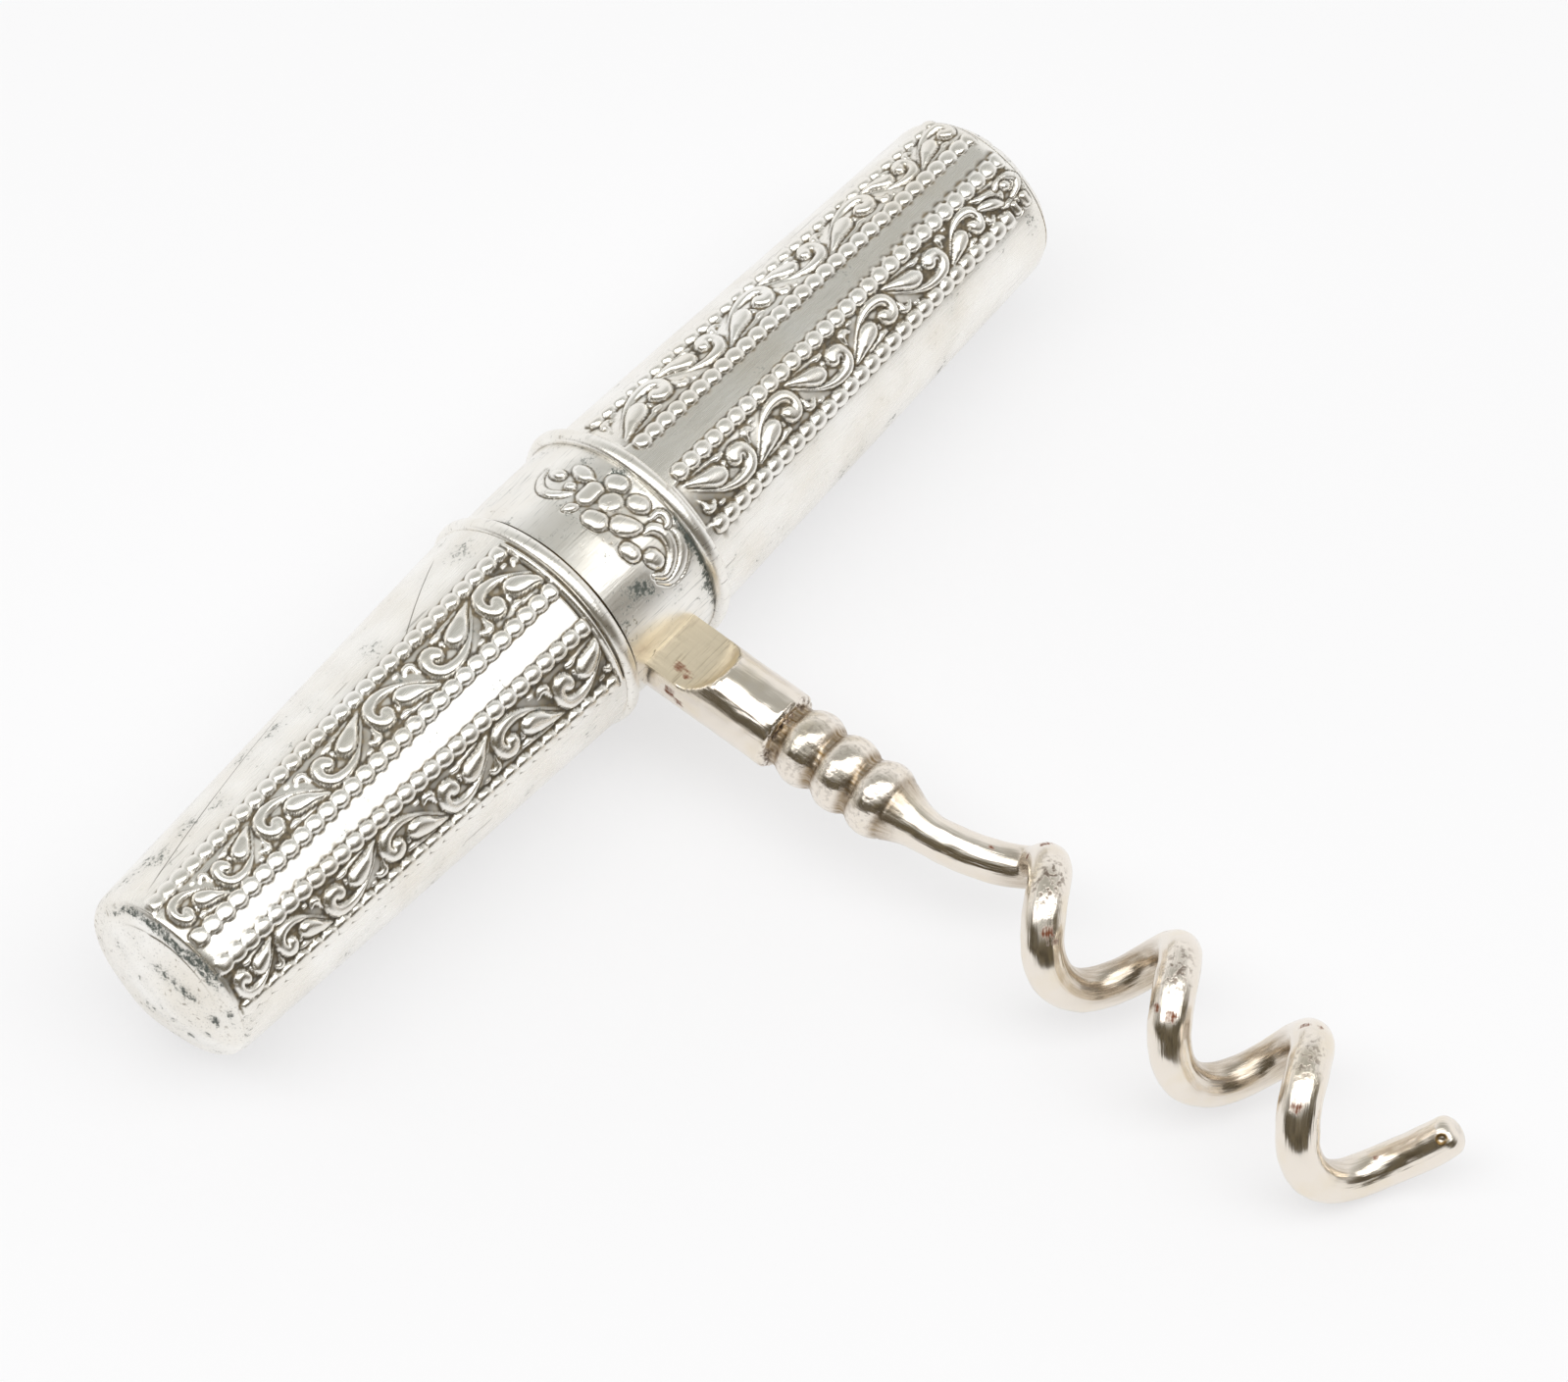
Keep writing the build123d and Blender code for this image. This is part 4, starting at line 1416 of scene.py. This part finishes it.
@dataclass
class Studio:
    """Pale table, one wide overhead softbox, a white sweep behind and the darker room in front. The lens, its
    sensor and the camera's distance are in mm, and the table and the lamp in metres."""

    line: CaseLine
    azimuth: float = -50.7
    elevation: float = 54.8
    distance: float = 500.0
    lens: float = 184.8
    sensor: float = 36.0
    aim: Pair = (5.74, -11.4)
    box_size: Pair = (1.5, 0.45)
    box_height: float = 0.6
    box_forward: float = 0.15
    box_power: float = 4.0
    table_size: float = 4.0
    plain_white: float = 0.6
    glow: str = "#FEFEFF"
    sweep: str = "#FCFCFC"
    ceiling: str = "#B2B2AD"
    room: str = "#6E6552"
    clutter: str = "#3B352B"

    def build(self) -> None:
        """Set the table, the lights and the camera."""
        target = (Vector(self.line.centre) + Vector((*self.aim, -self.line.centre[2]))) * MM
        az, el = radians(self.azimuth), radians(self.elevation)
        back = Vector((sin(az) * cos(el), -cos(az) * cos(el), sin(el)))
        clear_selection()
        bpy.ops.object.camera_add(location=target + back * self.distance * MM,
                                  rotation=back.to_track_quat("Z", "Y").to_euler())
        camera = bpy.context.object
        camera.name = "photo_camera"
        camera.data.lens = self.lens
        camera.data.sensor_width = self.sensor
        camera.data.clip_start = 0.01
        bpy.context.scene.camera = camera
        toward = Vector((back.x, back.y, 0)).normalized()
        spot = target + toward * self.box_forward + Vector((0, 0, self.box_height))
        bpy.ops.object.light_add(type="AREA", location=spot, rotation=(0, 0, az))
        box = bpy.context.object
        box.name = "softbox"
        box.data.shape = "RECTANGLE"
        box.data.size, box.data.size_y = self.box_size
        box.data.energy = self.box_power
        self.table()
        self.world(toward)

    def table(self) -> None:
        """Lay the pale table top. Part of its paper shows as plain white, which leaves a faint shadow."""
        clear_selection()
        bpy.ops.mesh.primitive_plane_add(size=self.table_size)
        floor = bpy.context.object
        floor.name = "table_top"
        made = Paper("white_paper_sweep").material()
        wire = Wiring(made.node_tree)
        paper = made.node_tree.nodes["Principled BSDF"].outputs[0]
        rays = (wire.add("LightPath", {}, f"Is {kind} Ray") for kind in ("Camera", "Glossy"))
        seen = wire.times(wire.larger(*rays), self.plain_white)
        white = wire.add("Emission", {"Color": self.glow, "Strength": 1.0})
        mixed = wire.add("MixShader", {0: seen, 1: paper, 2: white})
        wire.feed(made.node_tree.nodes["Material Output"], {"Surface": mixed})
        floor.data.materials.append(made)

    def world(self, toward: Vector) -> None:
        """Paint the room: white behind, grey overhead, dark towards the camera.

        Args:
            toward: level direction from the object to the camera.
        """
        world = bpy.data.worlds.new("studio_room")
        bpy.context.scene.world = world
        world.use_nodes = True
        wire = Wiring(world.node_tree)
        way = wire.places("Generated")
        high = wire.add("SeparateXYZ", {0: way}, "Z")
        front = wire.ramp(wire.dot(way, tuple(toward)), -0.35, 0.25)
        dark = wire.times(front, wire.ramp(high, 0.75, 0.6))
        colour = wire.mix(wire.ramp(high, 0.35, 0.8), self.sweep, self.ceiling)
        # furniture and people in the room streak the dark reflections
        crowd = wire.add("TexNoise", {"Vector": way, "Scale": 4.0, "Detail": 3.0}, "Fac")
        crowd = wire.mix(wire.ramp(crowd, 0.4, 0.62), self.room, self.clutter)
        wire.feed(wire.tree.nodes["Background"], {"Color": wire.mix(dark, colour, crowd), "Strength": 1.0})
        bpy.context.scene.view_settings.view_transform = "Standard"


def main() -> None:
    """Build the sub-assemblies in order and report them."""
    logging.basicConfig(level=logging.INFO)
    line = CaseLine.from_frame(3.8)
    pull_off = CaseHalf(line, Half.PULL_OFF)
    marks = (pull_off.scratch((7.6, -42), (14.6, -12)), pull_off.scratch((21.0, -51), (37.0, -21)))
    struck = StruckSilver("die_struck_sterling_silver", long_scratches=marks).material()
    worn = StruckSilver("worn_sterling_silver", pitting=0.6, roughness=0.28, scratches=0.4).material()
    pull_off.build(struck, worn)
    CaseHalf.fixed(line).build(struck, worn)
    Collar(line).build(worn)
    Worm().build(NickelPlatedSteel().material())
    InnerWorks().dress()
    Studio(line).build()


if __name__ == "__main__":
    main()
